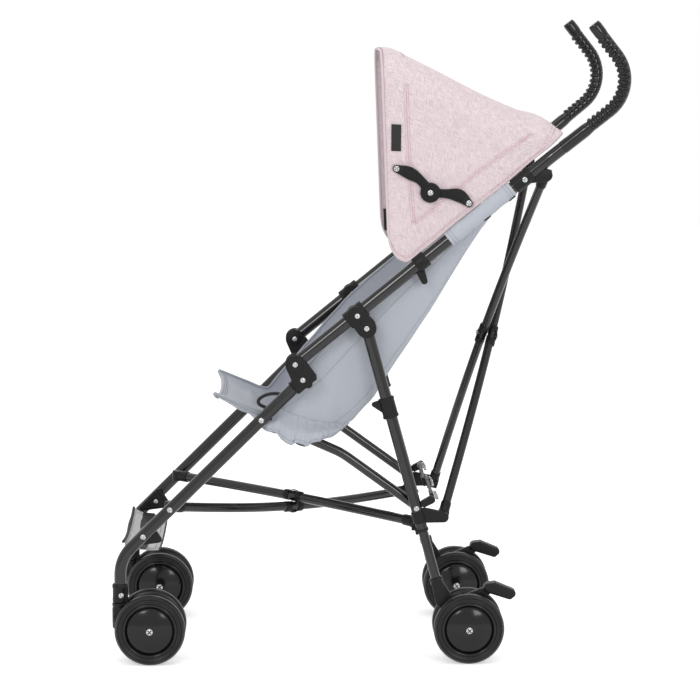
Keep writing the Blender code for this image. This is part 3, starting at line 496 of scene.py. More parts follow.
def repeat_along_tree():
    """Sets a shape at an even pitch along a curve, its Z along the curve."""
    tree, given, points, place = scatter_tree(
        "repeat_along", "GeometryNodeCurveToPoints", {"mode": "LENGTH"},
        {"Shape": "Object", "Pitch": "Float", "Scale": "Vector", "Finish": "Material"})
    wire(tree, (given, "Pitch", points, "Length"), (points, "Rotation", place, "Rotation"))


def set_on_points_tree():
    """Sets a shape on every vertex, its Z along the vertex's facing, turned by a seeded angle."""
    tree, _, _, place = scatter_tree(
        "set_on_points", "GeometryNodeMeshToPoints", {},
        {"Shape": "Object", "Scale": "Float", "Finish": "Material"})
    way = add_node(tree, "GeometryNodeInputNamedAttribute", {"data_type": "FLOAT_VECTOR"},
                   Name="facing")
    aim = add_node(tree, "FunctionNodeAlignRotationToVector", {"axis": "Z"})
    chance = add_node(tree, "FunctionNodeRandomValue", {"data_type": "FLOAT"}, Max=math.pi,
                      Seed=HEAD_SEED)
    about = add_node(tree, "FunctionNodeAxisAngleToRotation", Axis=(0, 0, 1))
    spin = add_node(tree, "FunctionNodeRotateRotation", {"rotation_space": "LOCAL"})
    wire(tree, (way, "Attribute", aim, "Vector"), (chance, "Value", about, "Angle"),
         (aim, "Rotation", spin, "Rotation"), (about, "Rotation", spin, "Rotate By"),
         (spin, "Rotation", place, "Rotation"))


def grown(source, shape, tree_name, finish, smooth, **values):
    """Runs a node tree on an object and keeps the result as a plain mesh."""
    tree = bpy.data.node_groups[tree_name]
    values.update(Shape=shape, Finish=FINISH[finish])
    change = source.modifiers.new("grown", "NODES")
    change.node_group = tree
    for item in tree.interface.items_tree:
        if item.in_out == "INPUT" and item.name in values:
            change[item.identifier] = values[item.name]
    data = evaluated(source)
    bpy.data.objects.remove(shape, do_unlink=True)
    smoothed(data, smooth)
    return linked("shape", data)


def along_paths(paths, shape, finish, pitch, scale):
    """The shape repeated at this pitch along open paths."""
    curve = bpy.data.curves.new("paths", "CURVE")
    curve.dimensions = "3D"
    for path in paths:
        spline = curve.splines.new("POLY")
        spline.points.add(len(path) - 1)
        for point, place in zip(spline.points, path):
            point.co = (*place, 1.0)
    return grown(linked("paths", curve), shape, "repeat_along", finish, 60, Pitch=pitch,
                 Scale=scale)


def stitch_rows(paths, finish):
    """Sewn thread along the paths."""
    sewn = bpy.context.scene.stroller_cloth
    bm = bmesh.new()
    bmesh.ops.create_icosphere(bm, subdivisions=1, radius=0.5)
    return along_paths(paths, into_scene(bm, finish), finish, sewn.stitch_pitch,
                       (THREAD_W, THREAD_W, sewn.stitch_length))


def rivet_head():
    """Low domed head with a cross pressed into it, radius 1."""
    bm = bmesh.new()
    rings = [(0.0, 0.44), (0.1, 0.44), (0.24, 0.44), (0.4, 0.43), (0.55, 0.4), (0.72, 0.33),
             (0.86, 0.22), (0.96, 0.09), (1.0, -0.05), (1.0, -0.25)]
    steps, cross_reach, cross_half, cross_depth = 32, 0.6, 0.12, 0.42
    rows = []
    for r, h in rings:
        row = []
        for k in range(steps):
            turn = 2 * math.pi * k / steps
            arm = min(abs(math.sin(turn)), abs(math.cos(turn))) * r
            sunk = cross_depth if r < cross_reach and arm < cross_half else 0.0
            row.append(bm.verts.new((r * math.cos(turn), r * math.sin(turn), h - sunk)))
        rows.append(row)
    band(bm, rows, (-1,))
    bmesh.ops.remove_doubles(bm, verts=bm.verts, dist=0.001)
    return into_scene(bm, "zinc", 40)


def rivets(places, size=None):
    """Rivet heads at (place, facing) pairs."""
    data = bpy.data.meshes.new("places")
    data.from_pydata([tuple(p) for p, _ in places], [], [])
    ways = data.attributes.new("facing", "FLOAT_VECTOR", "POINT")
    for value, (_, way) in zip(ways.data, places):
        value.vector = Vector(way).normalized()
    return grown(linked("places", data), rivet_head(), "set_on_points", "zinc", 35,
                 Scale=size or bpy.context.scene.stroller_frame.rivet_radius)


# Finishes
FINISH = {}
DRIFT_SCALE = 22.0
CLOTH_ROUGHNESS = 0.85


def new_finish(name, **sockets):
    """New material, its tree and its shader with these inputs set."""
    made = bpy.data.materials.new(name)
    made.use_nodes = True
    shader = made.node_tree.nodes["Principled BSDF"]
    for socket, value in sockets.items():
        shader.inputs[socket.replace("_", " ")].default_value = value
    return made, made.node_tree, shader


def noise_node(tree, scale, detail, **values):
    """Noise of this scale and detail."""
    return add_node(tree, "ShaderNodeTexNoise", Scale=scale, Detail=detail, **values)


def range_node(tree, low, high):
    """Map from 0 to 1 onto this range."""
    return add_node(tree, "ShaderNodeMapRange", To_Min=low, To_Max=high)


def bump_node(tree, strength, distance):
    """Bump of this strength and depth."""
    return add_node(tree, "ShaderNodeBump", Strength=strength, Distance=distance)


def tint_node(tree, first, second):
    """Mix of two colours, its factor still open."""
    tint = add_node(tree, "ShaderNodeMix", {"data_type": "RGBA"})
    tint.inputs[6].default_value = (*first, 1)
    tint.inputs[7].default_value = (*second, 1)
    return tint


def tone(colour, factor, most=1.0):
    """The colour made darker or paler, no part of it above the most."""
    return tuple(min(c * factor, most) for c in colour)


def textured(name, colour, roughness, metallic=0.0, grain=900.0, depth=0.00004, blotch=0.12,
             spread=0.06, **sockets):
    """Solid finish with a fine surface grain, uneven gloss and a slight drift of colour."""
    made, tree, shader = new_finish(name, Metallic=metallic, **sockets)
    place = add_node(tree, "ShaderNodeTexCoord")
    fine, drift = noise_node(tree, grain, 3.0), noise_node(tree, DRIFT_SCALE, 4.0)
    tint = tint_node(tree, tone(colour, 1 - blotch), tone(colour, 1 + blotch))
    gloss = range_node(tree, roughness - spread, roughness + spread)
    relief = bump_node(tree, 0.6, depth)
    wire(tree, (place, "Object", fine, "Vector"), (place, "Object", drift, "Vector"),
         (drift, "Fac", tint, "Factor"), (tint, 2, shader, "Base Color"),
         (drift, "Fac", gloss, "Value"), (gloss, "Result", shader, "Roughness"),
         (fine, "Fac", relief, "Height"), (relief, "Normal", shader, "Normal"))
    return made


def woven(name, colour, pale, pitch, fleck, relief=0.00018, sheen=0.25):
    """Plain weave on the metric UV map, with threads that vary in tone along their length and
    painted shade in the hollows between the threads.
    """
    made, tree, shader = new_finish(name, Sheen_Weight=sheen, Sheen_Roughness=0.5)
    place = add_node(tree, "ShaderNodeTexCoord")
    weave = add_node(tree, "ShaderNodeMath", {"operation": "MULTIPLY"})
    shade = add_node(tree, "ShaderNodeMath", {"operation": "ADD"})
    for k, (axis, drawn) in enumerate((("X", (1000.0, 60.0, 1)), ("Y", (60.0, 1000.0, 1)))):
        threads = add_node(tree, "ShaderNodeTexWave",
                           {"wave_type": "BANDS", "bands_direction": axis},
                           Scale=2 * math.pi / (20 * pitch), Distortion=0.6, Detail=1.0)
        stretch = add_node(tree, "ShaderNodeMapping", Scale=drawn)
        streaks = noise_node(tree, 1.0, 4.0, Roughness=0.65)
        wire(tree, (place, "UV", threads, "Vector"), (threads, "Fac", weave, k),
             (place, "UV", stretch, "Vector"), (stretch, "Vector", streaks, "Vector"),
             (streaks, "Fac", shade, k))
    soften = 0.5 / max(fleck, 0.01) * 0.25
    contrast = add_node(tree, "ShaderNodeMapRange", From_Min=1.0 - soften, From_Max=1.0 + soften)
    tint = tint_node(tree, colour, pale)
    # Painted shade: the colour is multiplied down to 0.86 where the weave is low, in the hollows
    # between the threads.
    hollow_shaded_colour = add_node(tree, "ShaderNodeMix", {"data_type": "RGBA", "blend_type": "MULTIPLY"},
                       Factor=1.0)
    dip = range_node(tree, 0.86, 1.04)
    rough = range_node(tree, CLOTH_ROUGHNESS + 0.08, CLOTH_ROUGHNESS - 0.08)
    creases = noise_node(tree, 30.0, 5.0, Distortion=0.4)
    soft, raised = bump_node(tree, 0.35, 0.0016), bump_node(tree, 0.7, relief)
    wire(tree, (shade, "Value", contrast, "Value"), (contrast, "Result", tint, "Factor"),
         (weave, "Value", dip, "Value"), (tint, 2, hollow_shaded_colour, 6), (dip, "Result", hollow_shaded_colour, 7),
         (hollow_shaded_colour, 2, shader, "Base Color"), (weave, "Value", rough, "Value"),
         (rough, "Result", shader, "Roughness"), (place, "Object", creases, "Vector"),
         (creases, "Fac", soft, "Height"), (weave, "Value", raised, "Height"),
         (soft, "Normal", raised, "Normal"), (raised, "Normal", shader, "Normal"))
    return made


def make_finishes():
    """Every finish of the stroller, from the settings."""
    rails = bpy.context.scene.stroller_frame
    sewn = bpy.context.scene.stroller_cloth
    moulded, rubber = tuple(rails.plastic_colour), tuple(rails.rubber_colour)
    seat, hood, strap = sewn.seat_colour, sewn.hood_colour, sewn.strap_colour
    FINISH.update(
        paint=textured("satin_black_paint", tuple(rails.tube_colour), 0.11, grain=1400.0,
                       depth=0.000004, spread=0.03, Specular_IOR_Level=0.36, Coat_Weight=0.3,
                       Coat_Roughness=0.05),
        moulded=textured("grained_black_moulding", moulded, 0.42, grain=2200.0, depth=0.00005,
                         Specular_IOR_Level=0.22),
        gloss=textured("gloss_black_hub", tone(moulded, 0.7), 0.16, grain=300.0, depth=0.00001,
                       spread=0.03, Specular_IOR_Level=0.28, Coat_Weight=0.1,
                       Coat_Roughness=0.04),
        grip=textured("black_grip_rubber", tone(rubber, 0.7), 0.15, grain=1800.0, depth=0.000006,
                      spread=0.03, Specular_IOR_Level=0.3, Coat_Weight=0.15,
                      Coat_Roughness=0.04),
        tyre=textured("black_foam_tyre", rubber, 0.32, grain=1500.0, depth=0.00003, spread=0.08,
                      Specular_IOR_Level=0.3),
        zinc=textured("zinc_plated_steel", (0.58, 0.58, 0.58), 0.24, 0.85, grain=1200.0,
                      depth=0.00002, blotch=0.05, spread=0.08),
        webbing=textured("black_webbing", (0.012, 0.012, 0.013), 0.8, grain=1600.0,
                         depth=0.00012),
        seat=woven("grey_seat_weave", tuple(seat), tone(seat, 1.08), 0.0007, 0.35),
        seat_hem=woven("grey_seat_hem", tone(seat, 0.8), tone(seat, 0.9), 0.0006, 0.35, 0.0001),
        hood=woven("flecked_pink_weave", tone(hood, 0.87), tone(hood, 1.19, 0.92), 0.0008, 1.3,
                   sheen=0.12),
        hood_hem=woven("flecked_pink_binding", tone(hood, 0.86), tone(hood, 1.1, 0.9), 0.0009,
                       1.0, sheen=0.15),
        strap=woven("pale_foot_strap", tone(strap, 0.88), tone(strap, 1.14), 0.0012, 0.9),
        seat_thread=textured("grey_thread", tone(seat, 0.48), 0.7, grain=3000.0),
        hood_thread=textured("pink_thread", (0.56, 0.36, 0.41), 0.7, grain=3000.0),
    )


# Riding
BODY_OF = {node: next(name for name, empty in frame["bodies"].items() if empty is obj.parent)
           for node, obj in frame["nodes"].items()}


def fit(prefix, piece, node, *parts):
    """Joins the parts into the piece, which rides on the node's body and takes its place."""
    made = as_one(f"{prefix}_{piece}", list(parts))
    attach(made, BODY_OF[f"{prefix}_{node}"])
    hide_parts(f"{prefix}_{node}")


def close_with_frame(piece, body="left_side"):
    """Cloth between the side frames, riding on one body (the left side unless another is given)
    with a mesh of its own.
    """
    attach(piece, body)
    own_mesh(piece)
    return piece


# Tubes
def handle_line(s):
    """Foot, splay, bend and tip of one handle tube's line, and where its bare tube ends."""
    foot = in_side(TUBE_PIVOT, s * SIDE) - TUBE_DIR * TUBE_PAST
    splay = in_side(on_tube(SPREAD_START_X), s * SIDE)
    corner = in_side(on_tube(GRIP_CORNER_X), s * (SIDE + HANDLE_SPREAD))
    tip = in_side(GRIP_TIP, s * (SIDE + HANDLE_SPREAD))
    run = (TUBE_END_X - splay.x) / (corner.x - splay.x)
    return foot, splay, corner, tip, splay.lerp(corner, run)


def side_tubes(s):
    """Painted tubes of one side."""
    side, y = NAMES[s], s * SIDE
    foot, splay, _, _, end = handle_line(s)
    path = [foot] + round_bend([foot, splay, end], 0.1, 8)[1:]
    fit(side, "upper_tube", "handle_tube", swept_tube(path, HANDLE_R, "paint"))

    top = in_side(LEG_SCREW, y) + LEG_DIR * TUBE_PAST
    knee = Vector((CASTER_X, y, LEG_SCREW[1] - (LEG_SCREW[0] - CASTER_X) * math.tan(LEG_ANGLE)))
    path = round_bend([top, knee, (CASTER_X, y, LEG_END_Z)], 0.065, 16)
    fit(side, "leg_tube", "front_leg", swept_tube(path, LEG_R, "paint"))

    top = in_side(REAR_PIVOT, y) + REAR_DIR * TUBE_PAST
    foot = in_side(on_rear(REAR_TUBE_END_Z), y)
    cap = drum(foot - REAR_DIR * 0.0016, foot + REAR_DIR * 0.003, REAR_R + 0.0009, 0.0005)
    tab = belt((behind_rear(0.2165, -0.01), 0.0026), (behind_rear(0.223, -0.0098), 0.0022),
               steps=16)
    fit(side, "rear_tube", "rear_leg", swept_tube([top, foot], REAR_R, "paint"), cap,
        moulding(tab, y - 0.0035, y + 0.0035, 0.0007))
    path = [foot + REAR_DIR * 0.02, in_side(on_rear(LOWER_END_Z), y)]
    fit(side, "lower_tube", "rear_lower_leg", swept_tube(path, LOWER_R, "paint"))

    y_in = s * (SIDE - LEG_R - GAP - STRUT_R)
    ends = [in_side(p, y_in) for p in (STRUT_FRONT, STRUT_BEND, STRUT_REAR)]
    eyes = [disc(end, Vector((0, STRUT_R, 0)), STRUT_R + 0.0006, 0.0014, finish="paint")
            for end in (ends[0], ends[2])]
    fit(side, "strut_tube", "side_strut",
        swept_tube(round_bend(ends, 0.12, 10), STRUT_R, "paint"), *eyes)


# Brackets
def bosses(point, y):
    """Raised round pads on both cheeks of a pivot."""
    return [drum(in_side(point, y + k * (BRACKET_W / 2 - 0.002)),
                 in_side(point, y + k * (BRACKET_W / 2 + 0.0011)), 0.0122, 0.0006)
            for k in (-1, 1)]


def cheeks(outline, y, inner=SLOT_W / 2, outer=BRACKET_W / 2, edge=0.0012):
    """Two walls of the same outline, with a slot between them."""
    return [moulding(outline, y + k * inner, y + k * outer, edge) for k in (-1, 1)]


def side_brackets(s):
    """Brackets, joint, guide and clamp that sit on the tubes of one side."""
    side, y = NAMES[s], s * SIDE

    def thick(half, edge, *circles):
        return moulding(belt(*circles), y - half, y + half, edge)

    x, z = LEG_SCREW
    at = in_side(LEG_SCREW, y)
    fit(side, "elbow_bracket", "lower_bracket",
        *cheeks(belt((TUBE_PIVOT, BRACKET_R), (LEG_SCREW, 0.0112),
                     ((x + 0.0195, z + 0.003), 0.0035), ((x - 0.007, z - 0.019), 0.0035)), y),
        thick(0.013, 0.0014, (LEG_SCREW, 0.011), ((x + 0.009, z - 0.007), 0.007)),
        drum(at - LEG_DIR * 0.0215, at - LEG_DIR * 0.004, 0.0116, 0.0012),
        drum(at - LEG_DIR * 0.0225, at - LEG_DIR * 0.019, 0.0122, 0.0008),
        *bosses(TUBE_PIVOT, y))

    reach = (in_side(on_tube(REAR_PIVOT[0])) - in_side(REAR_PIVOT)).dot(TUBE_RISE)
    clamp = in_side(REAR_PIVOT, y) + TUBE_RISE * reach
    hold = (clamp.x, clamp.z)
    fit(side, "leg_bracket", "mid_bracket",
        *cheeks(belt((hold, 0.015), (REAR_PIVOT, BRACKET_R)), y),
        disc(clamp, TUBE_DIR * 0.0185, 0.0146, 0.0014),
        thick(0.0125, 0.0014, (hold, 0.014),
              (tuple((in_side(REAR_PIVOT) + TUBE_RISE * 0.014).xz), 0.006)),
        *bosses(REAR_PIVOT, y))

    fit(side, "cross_bracket", "upper_bracket",
        cuff(HANDLE_R, [(0.0122, 0.018), (0.013, 0.017)], in_side(on_tube(0.248), y),
             TUBE_DIR),
        thick(LUG_T / 2, 0.0016, (on_tube(0.256), 0.012), (BACK_TOP, EYE_R)))

    fit(side, "rear_saddle", "rear_joint",
        thick(LUG_T / 2, 0.0014, (behind_rear(BACK_FOOT[1] + 0.006, 0.0115), 0.0062),
              (behind_rear(BACK_FOOT[1] - 0.006, 0.0115), 0.0062), (BACK_FOOT, 0.0088)),
        thick(LUG_T / 2, 0.0014, (behind_rear(LOCK_POINT[1] - 0.01, 0.014), 0.006),
              (LOCK_POINT, 0.0065)),
        cuff(REAR_R, [(0.0106, 0.01), (0.0112, 0.0092)], in_side(on_rear(BACK_FOOT[1]), y),
             REAR_DIR))

    fit(side, "leg_guide", "leg_sleeve",
        cuff(REAR_R, [(0.0126, 0.017), (0.0134, 0.016), (0.0134, 0.0128), (0.0127, 0.012)],
             in_side(on_rear(0.424), y), REAR_DIR),
        thick(0.003, 0.001, (on_rear(0.433), 0.007), (on_rear(0.415), 0.007),
              ((0.006, 0.429), 0.004)))

    x, z = on_tube(0.083)
    fit(side, "hood_clamp", "hood_clip",
        disc(in_side((x, z), y), TUBE_DIR * 0.011, 0.0138, 0.0012),
        thick(0.0045, 0.0014, ((x - 0.004, z - 0.008), 0.008), ((0.088, 0.633), 0.0055)))


def frame_screws(s):
    """Plated screw heads on the brackets, leg tubes and feet, on the body that each holds."""
    side = NAMES[s]
    face = BRACKET_W / 2 + 0.0013
    heads = {
        "side": [(REAR_PIVOT, face, True), ((-0.0217, 0.5767), face - 0.0011, True),
                 ((0.2508, 0.7992), SCREW_SIDE, False)],
        "front_leg": [(TUBE_PIVOT, face, True), (LEG_SCREW, face - 0.0011, True),
                      (STRUT_FRONT, LEG_R, False), (BRACE_FRONT, LEG_R, False),
                      ((-0.3749, 0.2105), LEG_R, False), ((-0.4116, 0.1131), SCREW_SIDE, False)],
        "rear_leg": [(STRUT_REAR, REAR_R, False)],
    }
    for body, screws in heads.items():
        places = []
        for point, reach, through in screws:
            places.append((in_side(point, s * (SIDE + reach)), facing(s)))
            if through:
                places.append((in_side(point, s * (SIDE - reach)), facing(-s)))
        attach(as_one(f"{side}_{body}_screws", [rivets(places)]), f"{side}_{body}")


# Wheels
def wheel_profile():
    """Domed hub cap, groove, ringed sidewall, crowned tread with two grooves, plain inner face."""
    half, r, hub = WHEEL_W / 2, WHEEL_R, CAP_R
    line = [(hub * 0.93 * k / 8, half + CAP_DOME - 0.008 * (k / 8) ** 2.1) for k in range(9)]
    line += [(hub * part, half - low) for part, low in (
        (0.942, 0.0027), (0.952, 0.003), (0.966, 0.0022), (0.986, 0.0008))]
    line += [(hub + out, half + high) for out, high in (
        (0.0002, 0.0002), (0.0016, 0.0007), (0.0028, 0.0006), (0.0038, -0.0004))]
    start, ridges, step = hub + 0.0042, 3, 0.0034
    for k in range(ridges):
        crown = half - 0.0001 - 0.0009 * (k / ridges) ** 2
        line += [(start + step * (k + part), crown - low) for part, low in (
            (0, 0.001), (0.28, 0.0001), (0.6, 0), (0.86, 0.0004), (0.97, 0.0011))]
    line += [(r - 0.0026, half - 0.0022), (r - 0.0012, half - 0.0036), (r - 0.0003, half - 0.0054)]
    for groove in (0.0034, -0.0034):
        line += [(r - sunk, groove + z) for sunk, z in (
            (0, 0.001), (0.0007, 0.0006), (0.0007, -0.0006), (0, -0.001))]
    return line + [(x, z - half) for x, z in (
        (r - 0.0003, 0.0054), (r - 0.0012, 0.0036), (r - 0.003, 0.0016), (r - 0.0085, 0),
        (hub + 0.002, 0.001), (hub - 0.001, 0.005), (0.012, 0.004), (0.0095, -0.001),
        (0.0046, -0.001), (0.0046, 0.003), (0.0, 0.003))]


def wheel(side, tag, place, centre, outward):
    """Tyre and cap in one body, the cap's faces glossy, and the nut on it."""
    centre = Vector(centre)
    made = turned(wheel_profile(), centre, facing(outward), 72, 50, "tyre")
    made.data.materials.append(FINISH["gloss"])
    for face in made.data.polygons:
        away = face.center - centre
        if outward * away.y > 0 and math.hypot(away.x, away.z) < CAP_R * 1.1:
            face.material_index = 1
    fit(side, f"{tag}_{place}_tyre", f"{tag}_wheel_{place}", made)
    nut = rivets([(centre + facing(outward) * (WHEEL_W / 2 + 0.006), facing(outward))], 0.0058)
    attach(as_one(f"{side}_{tag}_{place}_axle_nut", [nut]), f"{side}_{tag}_{place}")


def wheels():
    """All eight wheels."""
    for s in (LEFT, RIGHT):
        for tag, x in (("front", FRONT_AXLE_X), ("rear", REAR_AXLE_X)):
            for place, out in (("outer", 1), ("inner", -1)):
                wheel(NAMES[s], tag, place, (x, s * (SIDE + out * WHEEL_OFF), WHEEL_R), s * out)


def axle(x, y):
    """Steel pin through a pair of wheels."""
    return disc(Vector((x, y, WHEEL_R)), facing(AXLE_REACH), AXLE_R, 0.0005, finish="zinc")


def castors(s):
    """Front feet: the boot on the leg, and the swivelling arm with its axle."""
    side, y = NAMES[s], s * SIDE
    low = LEG_END_Z - 0.005
    stem = ((CASTER_X, y, 0), (0, 0, 1), 44)
    boot = [(r, low + h) for r, h in (
        (0.0, 0), (0.0118, 0), (0.013, 0.001), (0.0132, 0.006), (0.0128, 0.0075),
        (0.0128, 0.0235), (0.0134, 0.025), (0.0134, 0.0295), (0.0126, 0.031),
        (LEG_R + 0.0002, 0.031), (0.0, 0.031))]
    fit(side, "foot_boot", "caster_socket", turned(boot, *stem))
    top = low - 0.0006
    head = [(0.0, 0.056), (0.0118, 0.056), (0.0134, 0.058), (0.0137, 0.07)]
    head += [(r, top - h) for r, h in (
        (0.0137, 0.009), (0.0131, 0.008), (0.0131, 0.006), (0.0137, 0.005), (0.0137, 0.001),
        (0.0128, 0), (0.0, 0))]
    arm = belt(((CASTER_X, 0.078), 0.012), ((FRONT_AXLE_X, WHEEL_R), 0.0125),
               ((CASTER_X + 0.004, 0.064), 0.0085))
    fit(side, "swivel", "caster", turned(head, *stem),
        moulding(arm, y - 0.0125, y + 0.0125, 0.002), axle(FRONT_AXLE_X, y))


def rear_feet(s):
    """Rear feet: the housing on the leg, its axle, and the brake pedal."""
    side, y = NAMES[s], s * SIDE
    foot, high = on_rear(LOWER_END_Z), on_rear(LOWER_END_Z + 0.03)
    wide = HOUSING_W / 2
    collar = in_side(high, y)
    fit(side, "rear_foot", "rear_housing",
        *cheeks(belt((high, 0.0094), (foot, 0.0108)), y, 0.0062, wide, 0.0018),
        *cheeks(belt((foot, 0.0105), ((REAR_AXLE_X, WHEEL_R), 0.013)), y, 0.0063,
                wide - 0.0009, 0.0017),
        *cheeks(belt((PEDAL_PIVOT, 0.0085), ((REAR_AXLE_X, WHEEL_R + 0.01), 0.012)), y, 0.0064,
                wide - 0.0004, 0.0016),
        moulding(belt((high, 0.0092), (foot, 0.0096), ((REAR_AXLE_X - 0.006, WHEEL_R), 0.0095)),
                 y - 0.007, y + 0.007, 0.0012),
        drum(collar - REAR_DIR * 0.002, collar + REAR_DIR * 0.0085, 0.011, 0.001),
        axle(REAR_AXLE_X, y))

    arm = belt((PEDAL_PIVOT, 0.0066), ((0.1905, 0.113), 0.0062), ((0.199, 0.12), 0.0062))
    pad = belt(((0.196, 0.1225), 0.008), ((0.206, 0.125), 0.0068), ((0.234, 0.113), 0.007),
               ((0.231, 0.109), 0.0058))
    ribs = [disc(Vector((0.208 + 0.0056 * k, y, 0.1312 - 0.0024 * k)), Vector((0, 0.0085, 0)),
                 0.0009, 0.0003, 12) for k in range(5)]
    fit(side, "pedal_lever", "brake_pedal", moulding(arm, y - 0.0055, y + 0.0055, 0.0016),
        moulding(pad, y - 0.0125, y + 0.0125, 0.0034, 5), *ribs)


# Grips
def grips(s):
    """J-shaped grip: plain socket sleeve, and rows of bumps all round the bent rest."""
    _, splay, corner, tip, seat = handle_line(s)
    start = seat - (corner - splay).normalized() * GRIP_SOCKET
    path = round_bend([start, corner, tip], GRIP_BEND_R, 24)
    fine, lengths = [path[0]], [0.0]
    for a, b in zip(path, path[1:]):
        steps = max(1, round((b - a).length / 0.005))
        fine += [a.lerp(b, (k + 1) / steps) for k in range(steps)]
    for a, b in zip(fine, fine[1:]):
        lengths.append(lengths[-1] + (b - a).length)
    total, sleeve = lengths[-1], GRIP_SOCKET * 2.2

    def girth(run):
        if run < sleeve:
            return GRIP_SLEEVE_R
        if total - run < 0.0014:
            return GRIP_CORE_R
        if total - run < 0.024:
            return GRIP_CORE_R + 0.0008
        return GRIP_SLEEVE_R + (GRIP_CORE_R - GRIP_SLEEVE_R) * min((run - sleeve) / 0.006, 1.0)

    body = swept_tube(fine, GRIP_CORE_R, "grip", 36, [girth(r) / GRIP_CORE_R for r in lengths],
                      0.0004)
    plane = (corner - start).cross(tip - corner).normalized()
    bumpy = [i for i in range(len(fine)) if sleeve + 0.008 <= lengths[i] <= total - 0.026]
    rows = []
    for turn in map(math.radians, (24, -24, 70, -70, 116, -116)):
        rows.append([fine[i] + (plane.cross(heading(fine, i)) * math.cos(turn)
                                + plane * math.sin(turn)) * (GRIP_CORE_R - 0.001)
                     for i in bumpy])
    pitch = run_of(rows[0]) / (bpy.context.scene.stroller_frame.grip_ribs - 1) * 0.999
    bm = bmesh.new()
    bmesh.ops.create_uvsphere(bm, u_segments=16, v_segments=10, radius=0.5)
    bumps = along_paths(rows, into_scene(bm, "grip"), "grip", pitch, (0.0086, 0.0086, 0.0074))
    fit(NAMES[s], "ribbed_grip", "grip", body, bumps)


# Crossed tubes
def side_normal(first, second):
    """Direction from one side-view point to another, and the upward normal of that line."""
    run = (in_side(second) - in_side(first)).normalized()
    normal = run.cross(Vector((0, 1, 0)))
    return run, (normal if normal.z > 0 else -normal)


def crossed_pair(prefix, first, second, reach, radius, sag):
    """Two bowed tubes, their end eyes, the sleeves at the crossing and the rivet through them."""
    _, normal = side_normal(first, second)
    steps, middle = 24, 12
    for tag, lift in (("a", 1), ("b", -1)):
        start, end = in_side(first, -lift * reach), in_side(second, lift * reach)
        bow = (radius + GAP) * lift - sag
        path = [start.lerp(end, k / steps) + normal * bow * math.sin(math.pi * k / steps)
                for k in range(steps + 1)]
        parts = [swept_tube(path, radius, "paint")]
        for place, inward in ((start, path[2] - path[0]), (end, path[-3] - path[-1])):
            inward.normalize()
            parts += [disc(place, normal * 0.0088, EYE_R, 0.0012),
                      drum(place + inward * 0.006, place + inward * 0.024, radius + 0.0014,
                           0.001)]
        heart = path[middle] + normal * 0.0011 * lift
        for k in (-1, 1):
            way = (path[middle + 2 * k] - path[middle + k]).normalized()
            parts.append(drum(heart + way * 0.0065, heart + way * 0.0175, radius + 0.0012, 0.0006))
        fit(prefix, tag, "tube_" + tag, *parts)
    centre = (in_side(first) + in_side(second)) / 2 - normal * sag
    stack = radius * 2 + GAP
    parts = [disc(centre, normal * (stack + 0.0022), 0.0034, finish="zinc")]
    for way in (-normal, normal):
        parts += [drum(centre + way * (stack + 0.0002), centre + way * (stack + 0.0024), 0.0072,
                       0.0005),
                  rivets([(centre + way * (stack + 0.0028), way)], 0.0046)]
    fit(prefix, "rivet", "pivot", *parts)


def yokes(s):
    """Swivel fitting inside each rear leg, with the pin of the bottom cross tube."""
    run, normal = side_normal(BRACE_FRONT, BRACE_REAR)
    centre = in_side(BRACE_REAR, s * BRACE_REACH)
    plane = {"centre": centre, "axes": (run, (0, 1, 0), normal)}
    wall, depth, tall = EYE_R + CLEAR, YOKE_WALL, 0.0123
    back = [(-0.0075, s * wall), (0.0075, s * wall), (0.0075, s * (wall + depth)),
            (-0.0075, s * (wall + depth))]
    jaw = belt(((0.0, 0.0), 0.007), ((0.0, s * (wall + depth - 0.0075)), 0.0075))
    fit(NAMES[s], "swivel_yoke", "brace_yoke",
        moulding(back, -tall, tall, 0.0005, **plane),
        moulding(jaw, 0.0093, tall, 0.001, **plane),
        moulding(jaw, -tall, -0.0093, 0.001, **plane),
        *[rivets([(centre + way * 0.0127, way)], 0.004) for way in (-normal, normal)])


def spreader(s):
    """Half of the folding spreader behind the rear legs, with its knuckle and spring wire."""
    axis = Vector((math.cos(REAR_LEAN), 0, math.sin(REAR_LEAN)))
    reach = SIDE - LUG_T / 2 - GAP - 0.0075
    centre = in_side(LOCK_POINT) - axis * 0.0028 * s

    def bar(near, near_r, far, far_r, low, high, edge, at=centre, steps=32):
        return moulding(belt(((far, 0.0), far_r), ((near, 0.0), near_r), steps=steps), low, high,
                        edge, centre=at, axes=((0, 1, 0), REAR_DIR, axis))

    parts = [bar(0.0, 0.007, s * reach, 0.0075, -0.0025, 0.0025, 0.001)]
    for along in (0.25, 0.5, 0.75):
        parts.append(bar(-0.012, 0.0024, 0.012, 0.0024, 0.002, 0.0031, 0.0003,
                         centre + facing(s) * reach * along, 16))
    end = centre + facing(s) * reach
    parts.append(rivets([(end + axis * 0.003, axis), (end - axis * 0.003, -axis)], 0.0042))
    for near, far in ((0.8, 1.0), (0.0, 0.16)):
        parts.append(bar(s * reach * near, 0.0078, s * reach * far, 0.008, -0.0036, 0.0036,
                         0.0012))
    for along, turns in ((0.92, 3), (0.1, 2)):
        middle = centre + facing(s) * reach * along + axis * 0.0048
        coil = []
        for step in range(turns * 12 + 1):
            turn = 2 * math.pi * step / 12
            coil.append(middle + axis * 0.0016 * step / 12
                        + (Vector((0, math.cos(turn), 0)) + REAR_DIR * math.sin(turn)) * 0.0074)
        tail = middle - facing(s) * 0.024 + REAR_DIR * 0.005
        parts.append(swept_tube(coil + [coil[-1].lerp(tail, 0.5), tail], 0.0008, "zinc", 8,
                                edge=0.0))
    fit(NAMES[s], "spreader_bar", "spreader_link", *parts)


